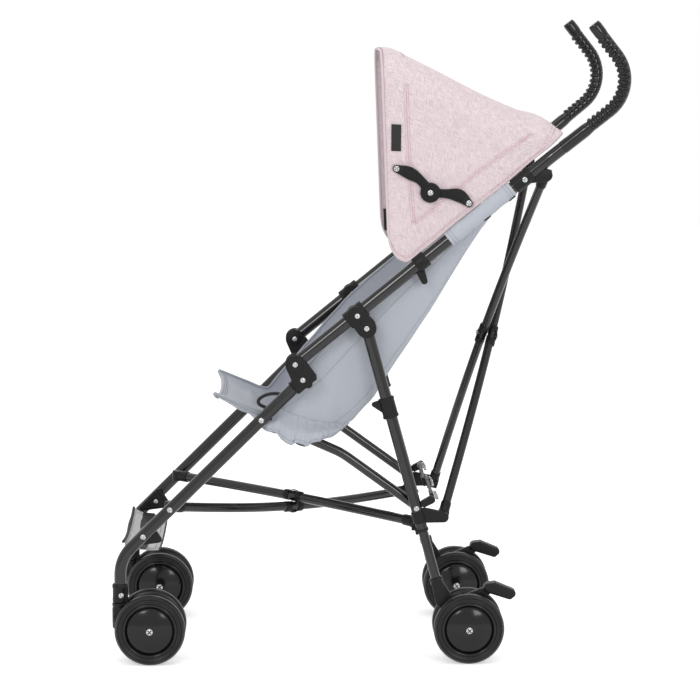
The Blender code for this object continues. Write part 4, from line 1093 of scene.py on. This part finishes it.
# Cloth
def cloth(name, rows, finish, wall=None, closed=False):
    """Sewn sheet through rows of points, with a metric UV map; returns it and its flat area."""
    bm = bmesh.new()
    uv = bm.loops.layers.uv.new("UVMap")
    grid = [[bm.verts.new(p) for p in row] for row in rows]
    down = [0.0]
    for a, b in zip(rows, rows[1:]):
        middle = len(a) // 2
        down.append(down[-1] + ((b[middle] - a[middle]).length + (b[0] - a[0]).length) / 2)
    marks = []
    for i, row in enumerate(rows):
        run = [0.0]
        for a, b in zip(row, row[1:]):
            run.append(run[-1] + (b - a).length)
        marks.append([(r - run[-1] / 2, down[i]) for r in run])
    area = 0.0
    for i in range(len(rows) - 1):
        for k in range(len(rows[0]) - 1):
            cell = ((i, k), (i, k + 1), (i + 1, k + 1), (i + 1, k))
            face = bm.faces.new([grid[a][b] for a, b in cell])
            for loop, (a, b) in zip(face.loops, cell):
                loop[uv].uv = marks[a][b]
            area += face.calc_area()
    if closed:
        bmesh.ops.remove_doubles(bm, verts=bm.verts, dist=0.00001)
    bmesh.ops.recalc_face_normals(bm, faces=bm.faces)
    data = bpy.data.meshes.new("flat")
    bm.to_mesh(data)
    bm.free()
    data.materials.append(FINISH[finish])
    sheet = linked("flat", data)
    thick = sheet.modifiers.new("wall", "SOLIDIFY")
    thick.thickness = wall or bpy.context.scene.stroller_cloth.wall
    thick.offset = 0.0
    solid = evaluated(sheet)
    solid.name = name
    smoothed(solid, 50)
    return linked(name, solid), area


SEAT_FOLDS = [(-0.020, 0.30, 0.0058), (0.004, 0.26, 0.0050), (0.050, 0.10, 0.0026),
              (-0.112, 0.55, 0.0036)]       # x at the rim, lean, depth
SKIRT_Y = -0.1730
LOOP_LINE = [(-0.1420, 0.4420), (-0.1560, 0.4445), (-0.1720, 0.4420), (-0.1835, 0.4345),
             (-0.1830, 0.4270), (-0.1720, 0.4210), (-0.1600, 0.4165)]
SEAT_RIM = [(-0.2573, 0.4445), (-0.2400, 0.4375), (-0.2220, 0.4300), (-0.2040, 0.4230),
            (-0.1880, 0.4160), (-0.1720, 0.4130), (-0.1600, 0.4240), (-0.1480, 0.4380),
            (-0.1360, 0.4520), (-0.1235, 0.4660), (-0.1060, 0.4860), (-0.0800, 0.5155),
            (-0.0350, 0.5660), (0.0100, 0.6080), (0.0900, 0.6740), (0.1550, 0.7270),
            (0.2150, 0.7750), (0.2350, 0.7930)]
SEAT_BASE = [(-0.2573, 0.4335), (-0.2410, 0.4255), (-0.2250, 0.4170), (-0.2090, 0.4080),
             (-0.1940, 0.3985), (-0.1800, 0.3885), (-0.1620, 0.3740), (-0.1425, 0.3640),
             (-0.1230, 0.3600), (-0.0985, 0.3600), (-0.0720, 0.3690), (-0.0450, 0.3830),
             (0.0008, 0.4260), (0.0318, 0.4750), (0.0980, 0.5750), (0.1400, 0.6450),
             (0.1750, 0.7020), (0.1979, 0.7390)]


def ease(part):
    """Smooth step from 0 to 1."""
    part = min(max(part, 0.0), 1.0)
    return part * part * (3 - 2 * part)


def seat_tuck(x):
    """How far inside the frame the front flap's edge lies."""
    return 0.0145 * ease((-0.13 - x) / 0.05)


def seat_sheet_point(rim, base, part):
    """Point of the sling: part 0 at the side rim, 1 at the middle of its floor."""
    if part < SEAT_CORNER:
        down = math.sin(part / SEAT_CORNER * math.pi / 2) ** 0.87
        inset = SEAT_INSET * (part / SEAT_CORNER) ** 1.8
    else:
        down = 1.0
        inset = SEAT_INSET + (SEAT_Y - SEAT_INSET) * (part - SEAT_CORNER) / (1 - SEAT_CORNER)
    return rim.lerp(base, down), (SEAT_Y - seat_tuck(rim.x)) * (1 - inset / SEAT_Y)


def bump(value, centre, width):
    """Smooth hump of height 1 at the centre."""
    return math.exp(-((value - centre) / width) ** 2)


def seat_rows():
    """Sections of the sling from its front edge to its top, with the folds of slack cloth."""
    rims, bases = side_line(SEAT_RIM, 5), side_line(SEAT_BASE, 5)
    rows = []
    for rim, base in zip(rims, bases):
        depth = (rim - base).length
        down = (base - rim).normalized()
        half = []
        for part in (k / 26 for k in range(27)):
            place, y = seat_sheet_point(rim, base, part)
            slack = math.sin(math.pi * min(part / SEAT_CORNER, 1.0)) * min(depth / 0.1, 1.0)
            for x, lean, deep in SEAT_FOLDS:
                at = place.x + lean * (rim.z - place.z)
                y -= deep * slack * bump(at, x, 0.0085)
            floor = math.sin(math.pi * min(max(part - 0.14, 0.0) / 0.72, 1.0))
            if place.x < 0.03:
                along = place.x + 0.19
                wave = math.sin(along * 128) + 0.6 * math.sin(along * 233 + 1)
                place = place + down * 0.0034 * wave * floor * bump(place.x, -0.125, 0.085)
            sag = min(depth / 0.1, 1.0) * max(0.0, (part - 0.5) / 0.5)
            place = place + down * 0.006 * math.sin(math.pi / 2 * sag)
            if rim.x < -0.19:
                pull = 0.01 * math.sin(math.pi / 2 * part) * bump(rim.x, -0.2573, 0.03)
                place = place + Vector((pull, 0, 0))
            crease = noise.noise(Vector((place.x * 30, y * 16, place.z * 30)))
            place = place + down * 0.0015 * crease * min(depth / 0.05, 1.0)
            y += 0.0018 * noise.noise(Vector((place.x * 20, 3.0, place.z * 12))) * slack
            half.append((place, max(y, 0.0)))
        left = [p + facing(LEFT) * y for p, y in half]
        rows.append(left + mirrored(left[-2::-1]))
    return rows


SKIRT_TOP = [(-0.1735, 0.4000), (-0.1625, 0.4120), (-0.1500, 0.4190), (-0.1400, 0.4160),
             (-0.1300, 0.4110), (-0.1200, 0.4070), (-0.1120, 0.4040), (-0.1040, 0.4010),
             (-0.0960, 0.3985), (-0.0880, 0.3965), (-0.0780, 0.3950), (-0.0680, 0.3940),
             (-0.0580, 0.3925), (-0.0460, 0.3915), (-0.0340, 0.3935)]
SKIRT_LOW = [(-0.1790, 0.3905), (-0.1688, 0.3844), (-0.1547, 0.3815), (-0.1464, 0.3713),
             (-0.1381, 0.3650), (-0.1299, 0.3618), (-0.1240, 0.3650), (-0.1133, 0.3630),
             (-0.1050, 0.3592), (-0.0967, 0.3650), (-0.0842, 0.3675), (-0.0760, 0.3708),
             (-0.0635, 0.3722), (-0.0500, 0.3800), (-0.0340, 0.3905)]


def skirt_rows(sling):
    """Gathered lower edge of the left side panel, hung outside the strut's front end."""
    top, low = side_line(SKIRT_TOP, 7), side_line(SKIRT_LOW, 7)
    panel = [p for row in sling for p in row[:14]]
    rows = []
    for k in range(17):
        part = k / 16
        row = []
        for i, (a, b) in enumerate(zip(top, low)):
            along = i / (len(top) - 1)
            place = a.lerp(b, part)
            inner = min(panel, key=lambda p: (p.x - a.x) ** 2 + (p.z - a.z) ** 2).y - 0.0012
            out = ease(part / 0.6) * (1.0 if along < 0.72 else (1 - along) / 0.28)
            pleat = math.sin(i * 0.86) + 0.6 * math.sin(i * 0.47 + 2)
            y = inner + (SKIRT_Y - inner) * out + 0.0011 * pleat * part
            row.append(Vector((place.x, y, place.z)))
        rows.append(row)
    return rows


def seat_skirts(sling):
    """Gathered edges of both side panels, with their hems."""
    left = skirt_rows(sling)
    for s in (LEFT, RIGHT):
        side = NAMES[s]
        rows = left if s == LEFT else [mirrored(row) for row in left]
        skirt, area = cloth(side + "_seat_skirt", rows, "seat")
        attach(skirt, side + "_side")
        trim = as_one(side + "_skirt_hem", [
            swept_tube(rows[-1], 0.0011, "seat_hem", 8, edge=0.0003),
            stitch_rows([[p + facing(s) * 0.0009 for p in rows[-3]]], "seat_thread")])
        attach(trim, side + "_side")
        width = max(map(run_of, rows))


def mirrored(path):
    """The path on the other side of the stroller."""
    return [Vector((p.x, -p.y, p.z)) for p in path]


def seat():
    """The sling with its piping, rolled ends and seams."""
    rows = seat_rows()
    sling, area = cloth("seat_cloth", rows, "seat")
    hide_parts("seat_sling")
    close_with_frame(sling)
    hems = [swept_tube([row[k] for row in rows], 0.0021, "seat_hem", 10, edge=0.0004)
            for k in (0, -1)]
    hems += [swept_tube(rows[k], 0.003, "seat_hem", 12, edge=0.001) for k in (0, -1)]
    lift = 0.0009
    threads = []
    for column, cut in ((2, None), (3, 30), (9, None)):
        path = [row[column] + facing(LEFT) * lift for row in rows[:cut]]
        threads += [path, mirrored(path)]
    for index, way, over, under in ((2, 0, 4, 8), (3, 0, 4, 8), (-3, -lift, 0, 0),
                                    (-4, -lift, 0, 0)):
        row, out = rows[index], Vector((way, 0, lift))
        threads.append([p + out for p in row[over:len(row) - over]])
        threads.append([p - out for p in row[under:len(row) - under]])
    hems.append(stitch_rows(threads, "seat_thread"))
    trim = close_with_frame(as_one("seat_trim", hems))
    width = max(map(run_of, rows))
    seat_skirts(rows)


def webbing(path, width_axis, width, thick):
    """Flat black strap along a path, its width along the given direction, edges rounded."""
    half, t = width / 2, thick / 2
    ring = [(-half, -t * 0.6), (-half + t, -t), (half - t, -t), (half, -t * 0.6), (half, t * 0.6),
            (half - t, t), (-half + t, t), (-half, t * 0.6)]
    wide = Vector(width_axis).normalized()
    bm = bmesh.new()
    rings = []
    for i, place in enumerate(path):
        up = heading(path, i).cross(wide).normalized()
        rings.append([bm.verts.new(place + wide * a + up * b) for a, b in ring])
    band(bm, rings)
    return into_scene(bm, "webbing", 50)


def seat_straps(s):
    """Black loop by the front leg, tabs under the seat, and the tube's sleeve with its tabs."""
    side, flat = NAMES[s], (0, 1, 0)
    parts = []
    if s == LEFT:
        parts.append(webbing(side_line(LOOP_LINE, 6, s * (SEAT_Y - 0.005)), flat, 0.007, 0.0056))
    for x, z, y in ((-0.164, 0.3815, 0.152), (-0.115, 0.3612, 0.169)):
        tab = side_line([(x - 0.007, z + 0.003), (x, z), (x + 0.008, z - 0.002)], 4, s * y)
        parts.append(webbing(tab, flat, 0.006, 0.0044))
    close_with_frame(as_one(side + "_seat_straps", parts))

    start, end = in_side(on_tube(0.128), s * SIDE), in_side(on_tube(0.231), s * SIDE)
    rings = []
    for k in range(25):
        ring = []
        for j in range(33):
            turn = 2 * math.pi * j / 32
            size = 0.012 + 0.0004 * math.sin(k * 1.1 + 2 * turn)
            ring.append(start.lerp(end, k / 24) + TUBE_RISE * size * math.sin(turn)
                        + facing(s) * size * math.cos(turn))
        rings.append(ring)
    sleeve, area = cloth(side + "_tube_sleeve", rings, "seat", closed=True)
    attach(sleeve, side + "_side")
    trim = [stitch_rows([[p + (p - start.lerp(end, k / 24)).normalized() * 0.0009
                          for p in rings[k]] for k in (1, 2, 22, 23)], "seat_thread")]
    for x in (0.183, 0.223):
        at = in_side(on_tube(x), s * SIDE) - TUBE_RISE * 0.0125
        trim.append(webbing([at - TUBE_DIR * 0.006, at, at + TUBE_DIR * 0.007], flat, 0.012,
                            0.0022))
    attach(as_one(side + "_sleeve_trim", trim), side + "_side")


# Hood
def above_tube(x, distance=0.01425):
    """Point this far above the handle tube's middle line."""
    foot = on_tube(x)
    return (foot[0] - distance * math.sin(TUBE_ANGLE), foot[1] + distance * math.cos(TUBE_ANGLE))


HOOD_LOW = [(0.0292, 0.7100), (0.0325, 0.6920), (0.0400, 0.6770), (0.0500, 0.6680),
            above_tube(0.0720), above_tube(0.0920), above_tube(0.1120), (0.1350, 0.7265),
            (0.1650, 0.7505), (0.2000, 0.7775), (0.2313, 0.8025), (0.2600, 0.8285),
            (0.2900, 0.8520)]
HOOD_TOP = [(0.0178, 1.0060), (0.0230, 1.0080), (0.0310, 1.0080), (0.0410, 1.0060),
            (0.0560, 0.9985), (0.0850, 0.9840), (0.1200, 0.9665), (0.1600, 0.9455),
            (0.1950, 0.9280), (0.2300, 0.9125), (0.2581, 0.9015), (0.2880, 0.8935),
            (0.3127, 0.8740)]
HOOD_CORNER_R = 0.052
STAY_Y = (HOOD_Y + 0.0018, HOOD_Y + 0.0053)      # inner and outer face of the stays
HOOD_TAB = [(0.0338, 0.8890), (0.0498, 0.8880), (0.0494, 0.8450), (0.0336, 0.8455)]
HOOD_TAPE = [(0.0325, 0.7260), (0.0395, 0.7260), (0.0410, 0.6880), (0.0345, 0.6880)]
HOOD_SEAMS = {
    "front": [(0.0560, 1.0000), (0.0580, 0.9300), (0.0630, 0.8200), (0.0700, 0.7280)],
    "rear": [(0.0700, 0.7280), (0.1000, 0.7500), (0.1500, 0.7905), (0.2000, 0.8290),
             (0.2581, 0.8715), (0.2720, 0.8860)],
}


def hood_side_y(x, z):
    """How far out the hood's side panel lies: flat at its seams and hems, hollow between them."""
    hollow = bump(x, 0.15, 0.075) * bump(z, 0.86, 0.07)
    crease = bump((z - 0.8738) + 0.435 * (x - 0.1425), 0.0, 0.005) * bump(x, 0.171, 0.03)
    ripple = noise.noise(Vector((x * 17, 7.0, z * 15))) * 0.0016
    return HOOD_Y - 0.0042 * hollow + 0.0014 * crease + ripple * (0.3 + 0.7 * hollow)


def hood_half(low, top):
    """Half a hoop of the hood, from its low edge up, round the corner and to the middle."""
    rise = (top - low).normalized()
    length = (top - low).length
    radius = min(HOOD_CORNER_R, length * 0.48)
    straight, flat, hem = length - radius, HOOD_Y - radius, 0.013
    points = []
    for run in (0.0, 0.003, 0.006, 0.009, hem,
                *[hem + (straight - hem) * k / 18 for k in range(1, 19)]):
        place = low + rise * run
        points.append(place - facing(1) * hood_side_y(place.x, place.z))
    for k in range(1, 11):
        turn = math.pi / 2 * k / 10
        place = low + rise * (straight + radius * math.sin(turn))
        side_y = hood_side_y(place.x, place.z)
        points.append(place - facing(1) * (flat + (radius + side_y - HOOD_Y) * math.cos(turn)))
    for k in range(1, 11):
        part = k / 10
        sag = 0.003 * math.sin(math.pi * part) * bump(top.x, 0.16, 0.06)
        place = top + rise * (0.002 * math.sin(math.pi / 2 * part) - sag)
        points.append(place - facing(1) * flat * (1 - part))
    return points


def hood():
    """The canopy with its hems, seams, label and tape."""
    lows, tops = side_line(HOOD_LOW, 5), side_line(HOOD_TOP, 5)
    rows = []
    for low, top in zip(lows, tops):
        half = hood_half(low, top)
        rows.append(half + mirrored(half[-2::-1]))
    canopy, area = cloth("hood_cloth", rows, "hood")
    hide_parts("hood_canopy")
    close_with_frame(canopy)
    lift = 0.001
    pieces = [swept_tube(rows[k], 0.0022, "hood_hem", 10, edge=0.0005) for k in (0, -1)]
    threads = [[p + Vector((0, math.copysign(lift, p.y) if abs(p.y) > 0.14 else 0,
                            lift if abs(p.y) <= 0.17 else 0)) for p in rows[index]]
               for index in (2, 3, -3, -4)]
    for s in (LEFT, RIGHT):
        pieces.append(swept_tube([row[0 if s == LEFT else -1] for row in rows], 0.002, "hood_hem",
                                 10, edge=0.0005))
        for column in (2, 3):
            threads.append([row[column if s == LEFT else -1 - column] + facing(s) * lift
                            for row in rows[2:-2]])
    for tag, seam in HOOD_SEAMS.items():
        run = side_line(seam, 10)
        for s in (LEFT, RIGHT):
            seam = [p + facing(s) * (hood_side_y(p.x, p.z) + 0.0006) for p in run
                    if (p.z < 0.955 if tag == "front" else p.x < 0.262)]
            pieces.append(swept_tube(seam, 0.0006, "hood_thread", 8, edge=0.0002))
            way = (seam[-1] - seam[0]).normalized().cross(Vector((0, 1, 0)))
            for shift in (-0.0034, 0.0034):
                threads.append([p + way * shift + facing(s) * 0.0005 for p in seam])
    over = [k for k, top in enumerate(tops) if abs(top.x - 0.056) < 0.004][0]
    roof = [p + Vector((0, 0, 0.0006)) for p in rows[over] if abs(p.y) < 0.15]
    pieces.append(swept_tube(roof, 0.0008, "hood_hem", 8, edge=0.0002))
    threads.append([p + Vector((0.0034, 0, -0.0012)) for p in roof])
    pieces.append(stitch_rows(threads, "hood_thread"))
    for s in (LEFT, RIGHT):
        for outline, low, high in ((HOOD_TAB, 0.0008, 0.0018), (HOOD_TAPE, -0.0021, -0.0008)):
            pieces.append(moulding(outline, s * (HOOD_Y + low), s * (HOOD_Y + high), 0.0003,
                                   finish="webbing"))
    trim = close_with_frame(as_one("hood_trim", pieces))
    width = max(map(run_of, rows))


STAY_CENTRE = (0.0974, 0.7776)
STAY_ARMS = {
    "front": [(0.0423, 0.8168, 0.0064), (0.0640, 0.8092, 0.0104), (0.0815, 0.7975, 0.0076),
              (0.0974, 0.7776, 0.0090)],
    "rear": [(0.1604, 0.7602, 0.0064), (0.1440, 0.7728, 0.0106), (0.1197, 0.7762, 0.0070),
             (0.0974, 0.7776, 0.0090)],
}
RIVET_GAP = 0.0100      # bare end of an arm before its ribs start


def leaf(stations):
    """Outline round a flowing line of (x, z, half width) stations, and the line itself."""
    line = flowing([Vector((x, half, z)) for x, z, half in stations], 8)
    left, right = [], []
    for k, place in enumerate(line):
        ahead = line[min(k + 1, len(line) - 1)] - line[max(k - 1, 0)]
        out = Vector((-ahead.z, ahead.x)).normalized() * place.y
        left.append((place.x + out.x, place.z + out.y))
        right.append((place.x - out.x, place.z - out.y))
    first = line[0]
    way = Vector((line[1].x - first.x, line[1].z - first.z)).normalized()
    start = math.atan2(way.x, -way.y)
    tip = [(first.x + first.y * math.cos(start + math.pi * k / 9),
            first.z + first.y * math.sin(start + math.pi * k / 9)) for k in range(1, 9)]
    return left[::-1] + tip + right, line


def hood_stay(s):
    """Two ribbed leaf-shaped arms and the click joint between them."""
    inner, outer = s * STAY_Y[0], s * STAY_Y[1]
    parts, heads = [], []
    for stations in STAY_ARMS.values():
        outline, line = leaf(stations)
        parts.append(moulding(outline, inner, outer, 0.001))
        marks = [Vector((p.x, outer, p.z)) for p in line]
        cut = [k for k, p in enumerate(marks) if (p - marks[0]).length > RIVET_GAP][:-5:2]
        ribs = []
        for a, b in zip(cut, cut[1:]):
            run = (marks[b] - marks[a]).normalized()
            out = Vector((-run.z, 0, run.x)) * 0.62
            ribs += [[marks[a] + out * lean * line[a].y, marks[b] - out * lean * line[b].y]
                     for lean in (-1, 1)]
        for lean in (-1, 1):
            rim = []
            for k in range(cut[0], cut[-1] + 1):
                run = (marks[k + 1] - marks[k - 1]).normalized()
                rim.append(marks[k] + Vector((-run.z, 0, run.x)) * lean * line[k].y * 0.72)
            ribs.append(rim)
        parts += [swept_tube(rib, 0.0008, "moulded", 8, edge=0.0002) for rib in ribs]
        heads.append((in_side(stations[0][:2], outer), facing(s)))
    knob = [(0.0, 0.007), (0.0072, 0.007), (0.0078, 0.0062), (0.0118, 0.006), (0.0124, 0.0068),
            (0.015, 0.0066), (0.0162, 0.0052), (0.0165, 0.0), (0.0, 0.0)]
    parts.append(turned(knob, in_side(STAY_CENTRE, inner), facing(s), 52))
    heads.append((in_side(STAY_CENTRE, s * (HOOD_Y + 0.0088)), facing(s)))
    fit(NAMES[s], "hood_hinge", "hood_stay", *parts, rivets(heads, 0.005))


# Footrest
FOOT_POINTS = [(-0.3660, 0.2250), (-0.3950, 0.1960), (-0.3500, 0.2020)]
STRAP_LINE = [(-0.4095, 0.1975), (-0.4030, 0.1925), (-0.3930, 0.1880), (-0.3800, 0.1850),
              (-0.3650, 0.1838), (-0.3500, 0.1840)]


def foot_cheek(s):
    """Triangular moulding inside the front leg, with a rib round its edge and its screw."""
    inner, face = s * CHEEK_Y, s * (CHEEK_Y - CHEEK_T)
    middle = (inner + face) / 2
    corners = zip(FOOT_POINTS, FOOT_POINTS[1:] + FOOT_POINTS[:1])
    hook = [in_side(p, middle) for p in ((-0.3955, 0.1955), (-0.3975, 0.1925), (-0.3935, 0.1895))]
    fit(NAMES[s], "foot_cheek", "foot_bracket",
        moulding(belt(*zip(FOOT_POINTS, (0.006, 0.005, 0.005))), inner, face),
        *[swept_tube([in_side(a, face), in_side(b, face)], 0.0011, "moulded", 10, edge=0.0003)
          for a, b in corners],
        swept_tube(hook, 0.003, "moulded", 12),
        rivets([(in_side((-0.3705, 0.208), face - s * 0.0002), facing(-s))], 0.0042))


def foot_strap():
    """The strap between the front legs, with its bindings and band."""
    reach = CHEEK_Y - CHEEK_T - GAP
    line = side_line(STRAP_LINE, 4)
    rows = []
    for i in range(41):
        y = -reach + 2 * reach * i / 40
        dip = 0.01 * (1 - (y / reach) ** 2)
        rows.append([p + Vector((0, y, -dip + 0.0008 * noise.noise(Vector((p.x * 60, y * 30, 0)))))
                     for p in line])
    strap, area = cloth("foot_cloth", rows, "strap", wall=0.0018)
    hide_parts("foot_strap")
    close_with_frame(strap, "left_front_leg")
    lift = Vector((0, 0, 0.0012))
    threads = [[r[k] + lift for r in rows[1:-1]] for k in (2, 3, -3)]
    threads += [[p + lift for p in rows[k][1:-1]] for k in (2, -3)]
    pieces = [swept_tube([r[0] for r in rows], 0.0024, "webbing", 12, edge=0.0005),
              swept_tube([r[-1] for r in rows], 0.0016, "webbing", 12, edge=0.0005),
              webbing([r[len(line) * 5 // 9] + lift * 1.5 for r in rows], (1, 0, -0.1), 0.023,
                      0.0014),
              stitch_rows(threads, "seat_thread")]
    trim = close_with_frame(as_one("strap_trim", pieces), "left_front_leg")
    width = run_of(line)


# Stage
FLOOR_GLOW = 0.42       # what the floor adds for the camera, so that it reads as white paper
SKY_LIGHT = 0.77
LAMP_AIM = Vector((0, 0, 0.5))
VIEW_PLACE = (-0.1298, -4.7347, 1.0777)
VIEW_DOWN, VIEW_TURN = 6.987, -1.211        # degrees
VIEW_LENS = 143.87
FLOOR_HALF = 9.0
LAMPS = (  # name, place, share of the key power, size
    ("key", (-1.55, -3.3, 2.3), 0.95, (1.0, 1.0)),
    ("fill", (1.45, -3.3, 1.75), 0.75, (1.0, 1.0)),
    ("top", (0.0, -0.4, 3.4), 0.55, (3.0, 0.60)),
    ("back", (0.4, 2.8, 2.4), 0.45, (3.0, 0.50)),
)


def seen_from(tree):
    """1 for camera, glossy and transmission rays, as a node and its output."""
    rays = add_node(tree, "ShaderNodeLightPath")
    last = (rays, "Is Camera Ray")
    for name in ("Is Glossy Ray", "Is Transmission Ray"):
        most = add_node(tree, "ShaderNodeMath", {"operation": "MAXIMUM"})
        wire(tree, (*last, most, 0), (rays, name, most, 1))
        last = (most, 0)
    return last


def pale_floor(colour):
    """Floor paint that also glows a little for the camera."""
    made, tree, shader = new_finish("floor_paint", Base_Color=(*colour, 1.0), Roughness=0.9,
                                    Specular_IOR_Level=0.1)
    glow = add_node(tree, "ShaderNodeEmission", Strength=FLOOR_GLOW)
    dark = add_node(tree, "ShaderNodeEmission", Strength=0.0)
    mix, both = add_node(tree, "ShaderNodeMixShader"), add_node(tree, "ShaderNodeAddShader")
    wire(tree, (*seen_from(tree), mix, 0), (dark, 0, mix, 1), (glow, 0, mix, 2),
         (shader, 0, both, 0), (mix, 0, both, 1),
         (both, 0, tree.nodes["Material Output"], "Surface"))
    return made


def plain_stage(floor_colour, key_power):
    """Pale floor, an even sky, soft lamps, and the camera at the photographed angle."""
    scene = bpy.context.scene
    far = FLOOR_HALF
    data = bpy.data.meshes.new("floor")
    data.from_pydata([(-far, -far, 0), (far, -far, 0), (far, far, 0), (-far, far, 0)], [],
                     [(0, 1, 2, 3)])
    data.materials.append(pale_floor(floor_colour))
    linked("floor", data)

    world = bpy.data.worlds.new("studio")
    scene.world = world
    world.use_nodes = True
    tree = world.node_tree
    background = tree.nodes["Background"]
    background.inputs["Color"].default_value = (1, 1, 1, 1)
    background.inputs["Strength"].default_value = SKY_LIGHT
    bright = add_node(tree, "ShaderNodeBackground", Color=(1, 1, 1, 1), Strength=1.0)
    mix = add_node(tree, "ShaderNodeMixShader")
    wire(tree, (*seen_from(tree), mix, 0), (background, 0, mix, 1), (bright, 0, mix, 2),
         (mix, 0, tree.nodes["World Output"], "Surface"))

    for name, place, share, size in LAMPS:
        lamp = bpy.data.lights.new(name, "AREA")
        lamp.energy = key_power * share
        lamp.shape = "RECTANGLE"
        lamp.size, lamp.size_y = size
        obj = linked(name, lamp)
        obj.location = place
        obj.rotation_euler = (LAMP_AIM - Vector(place)).to_track_quat("-Z", "Y").to_euler()

    lens = bpy.data.cameras.new("view")
    lens.lens, lens.sensor_width, lens.clip_end = VIEW_LENS, 36.0, 60.0
    camera = linked("view", lens)
    camera.location = VIEW_PLACE
    camera.rotation_euler = (math.radians(90 - VIEW_DOWN), 0, math.radians(VIEW_TURN))
    scene.camera = camera
    scene.view_settings.view_transform = "Standard"


# Operators
class StrollerOperator(bpy.types.Operator):
    """One step of building the stroller"""

    bl_options = {"REGISTER", "UNDO"}

    def both(self, *makers):
        for make in makers:
            for s in (LEFT, RIGHT):
                make(s)
        return {"FINISHED"}


class STROLLER_OT_finishes(StrollerOperator):
    """Makes the finishes and the node trees that the pieces use"""

    bl_idname = "stroller.finishes"
    bl_label = "Finishes"

    def execute(self, context):
        repeat_along_tree()
        set_on_points_tree()
        make_finishes()
        for obj in frame["nodes"].values():
            if obj.type == "MESH":
                obj.data.materials.clear()
                obj.data.materials.append(FINISH["moulded"])
        return {"FINISHED"}


class STROLLER_OT_tubes(StrollerOperator):
    """Builds the handle tubes, front legs, rear legs and struts"""

    bl_idname = "stroller.tubes"
    bl_label = "Frame tubes"

    def execute(self, context):
        return self.both(side_tubes)


class STROLLER_OT_brackets(StrollerOperator):
    """Builds the moulded brackets, saddles, guides and hood clamps"""

    bl_idname = "stroller.brackets"
    bl_label = "Brackets"

    def execute(self, context):
        return self.both(side_brackets, frame_screws)


class STROLLER_OT_wheels(StrollerOperator):
    """Builds the eight wheels, the castors, the rear feet and the brake levers"""

    bl_idname = "stroller.wheels"
    bl_label = "Wheels and feet"

    def execute(self, context):
        wheels()
        return self.both(castors, rear_feet)


class STROLLER_OT_grips(StrollerOperator):
    """Builds the ribbed grips"""

    bl_idname = "stroller.grips"
    bl_label = "Grips"

    def execute(self, context):
        return self.both(grips)


class STROLLER_OT_crosses(StrollerOperator):
    """Builds the crossed tubes, their yokes and the folding spreader"""

    bl_idname = "stroller.crosses"
    bl_label = "Crossed tubes"

    def execute(self, context):
        crossed_pair("bottom_cross", BRACE_REAR, BRACE_FRONT,
                     BRACE_REACH, BRACE_R, BRACE_SAG)
        crossed_pair("rear_cross", BACK_TOP, BACK_FOOT, SIDE - LUG_T / 2 - CLEAR - EYE_R, BACK_R,
                     0.0)
        return self.both(yokes, spreader)


class STROLLER_OT_seat(StrollerOperator):
    """Builds the seat sling, its hems, stitches, sleeves and straps"""

    bl_idname = "stroller.seat"
    bl_label = "Seat"

    def execute(self, context):
        seat()
        return self.both(seat_straps)


class STROLLER_OT_hood(StrollerOperator):
    """Builds the hood, its seams and its folding stays"""

    bl_idname = "stroller.hood"
    bl_label = "Hood"

    def execute(self, context):
        hood()
        return self.both(hood_stay)


class STROLLER_OT_footrest(StrollerOperator):
    """Builds the footrest cheeks and strap"""

    bl_idname = "stroller.footrest"
    bl_label = "Footrest"

    def execute(self, context):
        foot_strap()
        return self.both(foot_cheek)


class STROLLER_OT_stage(StrollerOperator):
    """Sets the floor, the lamps and the camera"""

    bl_idname = "stroller.stage"
    bl_label = "Stage"

    def execute(self, context):
        stage = context.scene.stroller_stage
        plain_stage(tuple(stage.floor_colour), stage.key_power)
        return {"FINISHED"}


STEPS = (STROLLER_OT_finishes, STROLLER_OT_tubes, STROLLER_OT_brackets, STROLLER_OT_wheels,
         STROLLER_OT_grips, STROLLER_OT_crosses, STROLLER_OT_seat, STROLLER_OT_hood,
         STROLLER_OT_footrest, STROLLER_OT_stage)


class STROLLER_PT_panel(bpy.types.Panel):
    """Lists the sizes, colours and steps"""

    bl_label = "Stroller"
    bl_idname = "STROLLER_PT_panel"
    bl_space_type = "VIEW_3D"
    bl_region_type = "UI"
    bl_category = "Stroller"

    def draw(self, context):
        for holder in ("stroller_frame", "stroller_cloth", "stroller_stage"):
            group = getattr(context.scene, holder)
            box = self.layout.box()
            for name in group.__annotations__:
                box.prop(group, name)
        for step in STEPS:
            self.layout.operator(step.bl_idname)


SETTINGS = {"stroller_frame": StrollerFrameSettings, "stroller_cloth": StrollerClothSettings,
            "stroller_stage": StrollerStageSettings}


def register():
    for made in (*SETTINGS.values(), *STEPS, STROLLER_PT_panel):
        bpy.utils.register_class(made)
    for name, group in SETTINGS.items():
        setattr(bpy.types.Scene, name, PointerProperty(type=group))


def unregister():
    for name in SETTINGS:
        delattr(bpy.types.Scene, name)
    for made in (STROLLER_PT_panel, *reversed(STEPS), *SETTINGS.values()):
        bpy.utils.unregister_class(made)


def main():
    register()
    for step in STEPS:
        group, name = step.bl_idname.split(".")
        getattr(getattr(bpy.ops, group), name)()


if __name__ == "__main__":
    main()
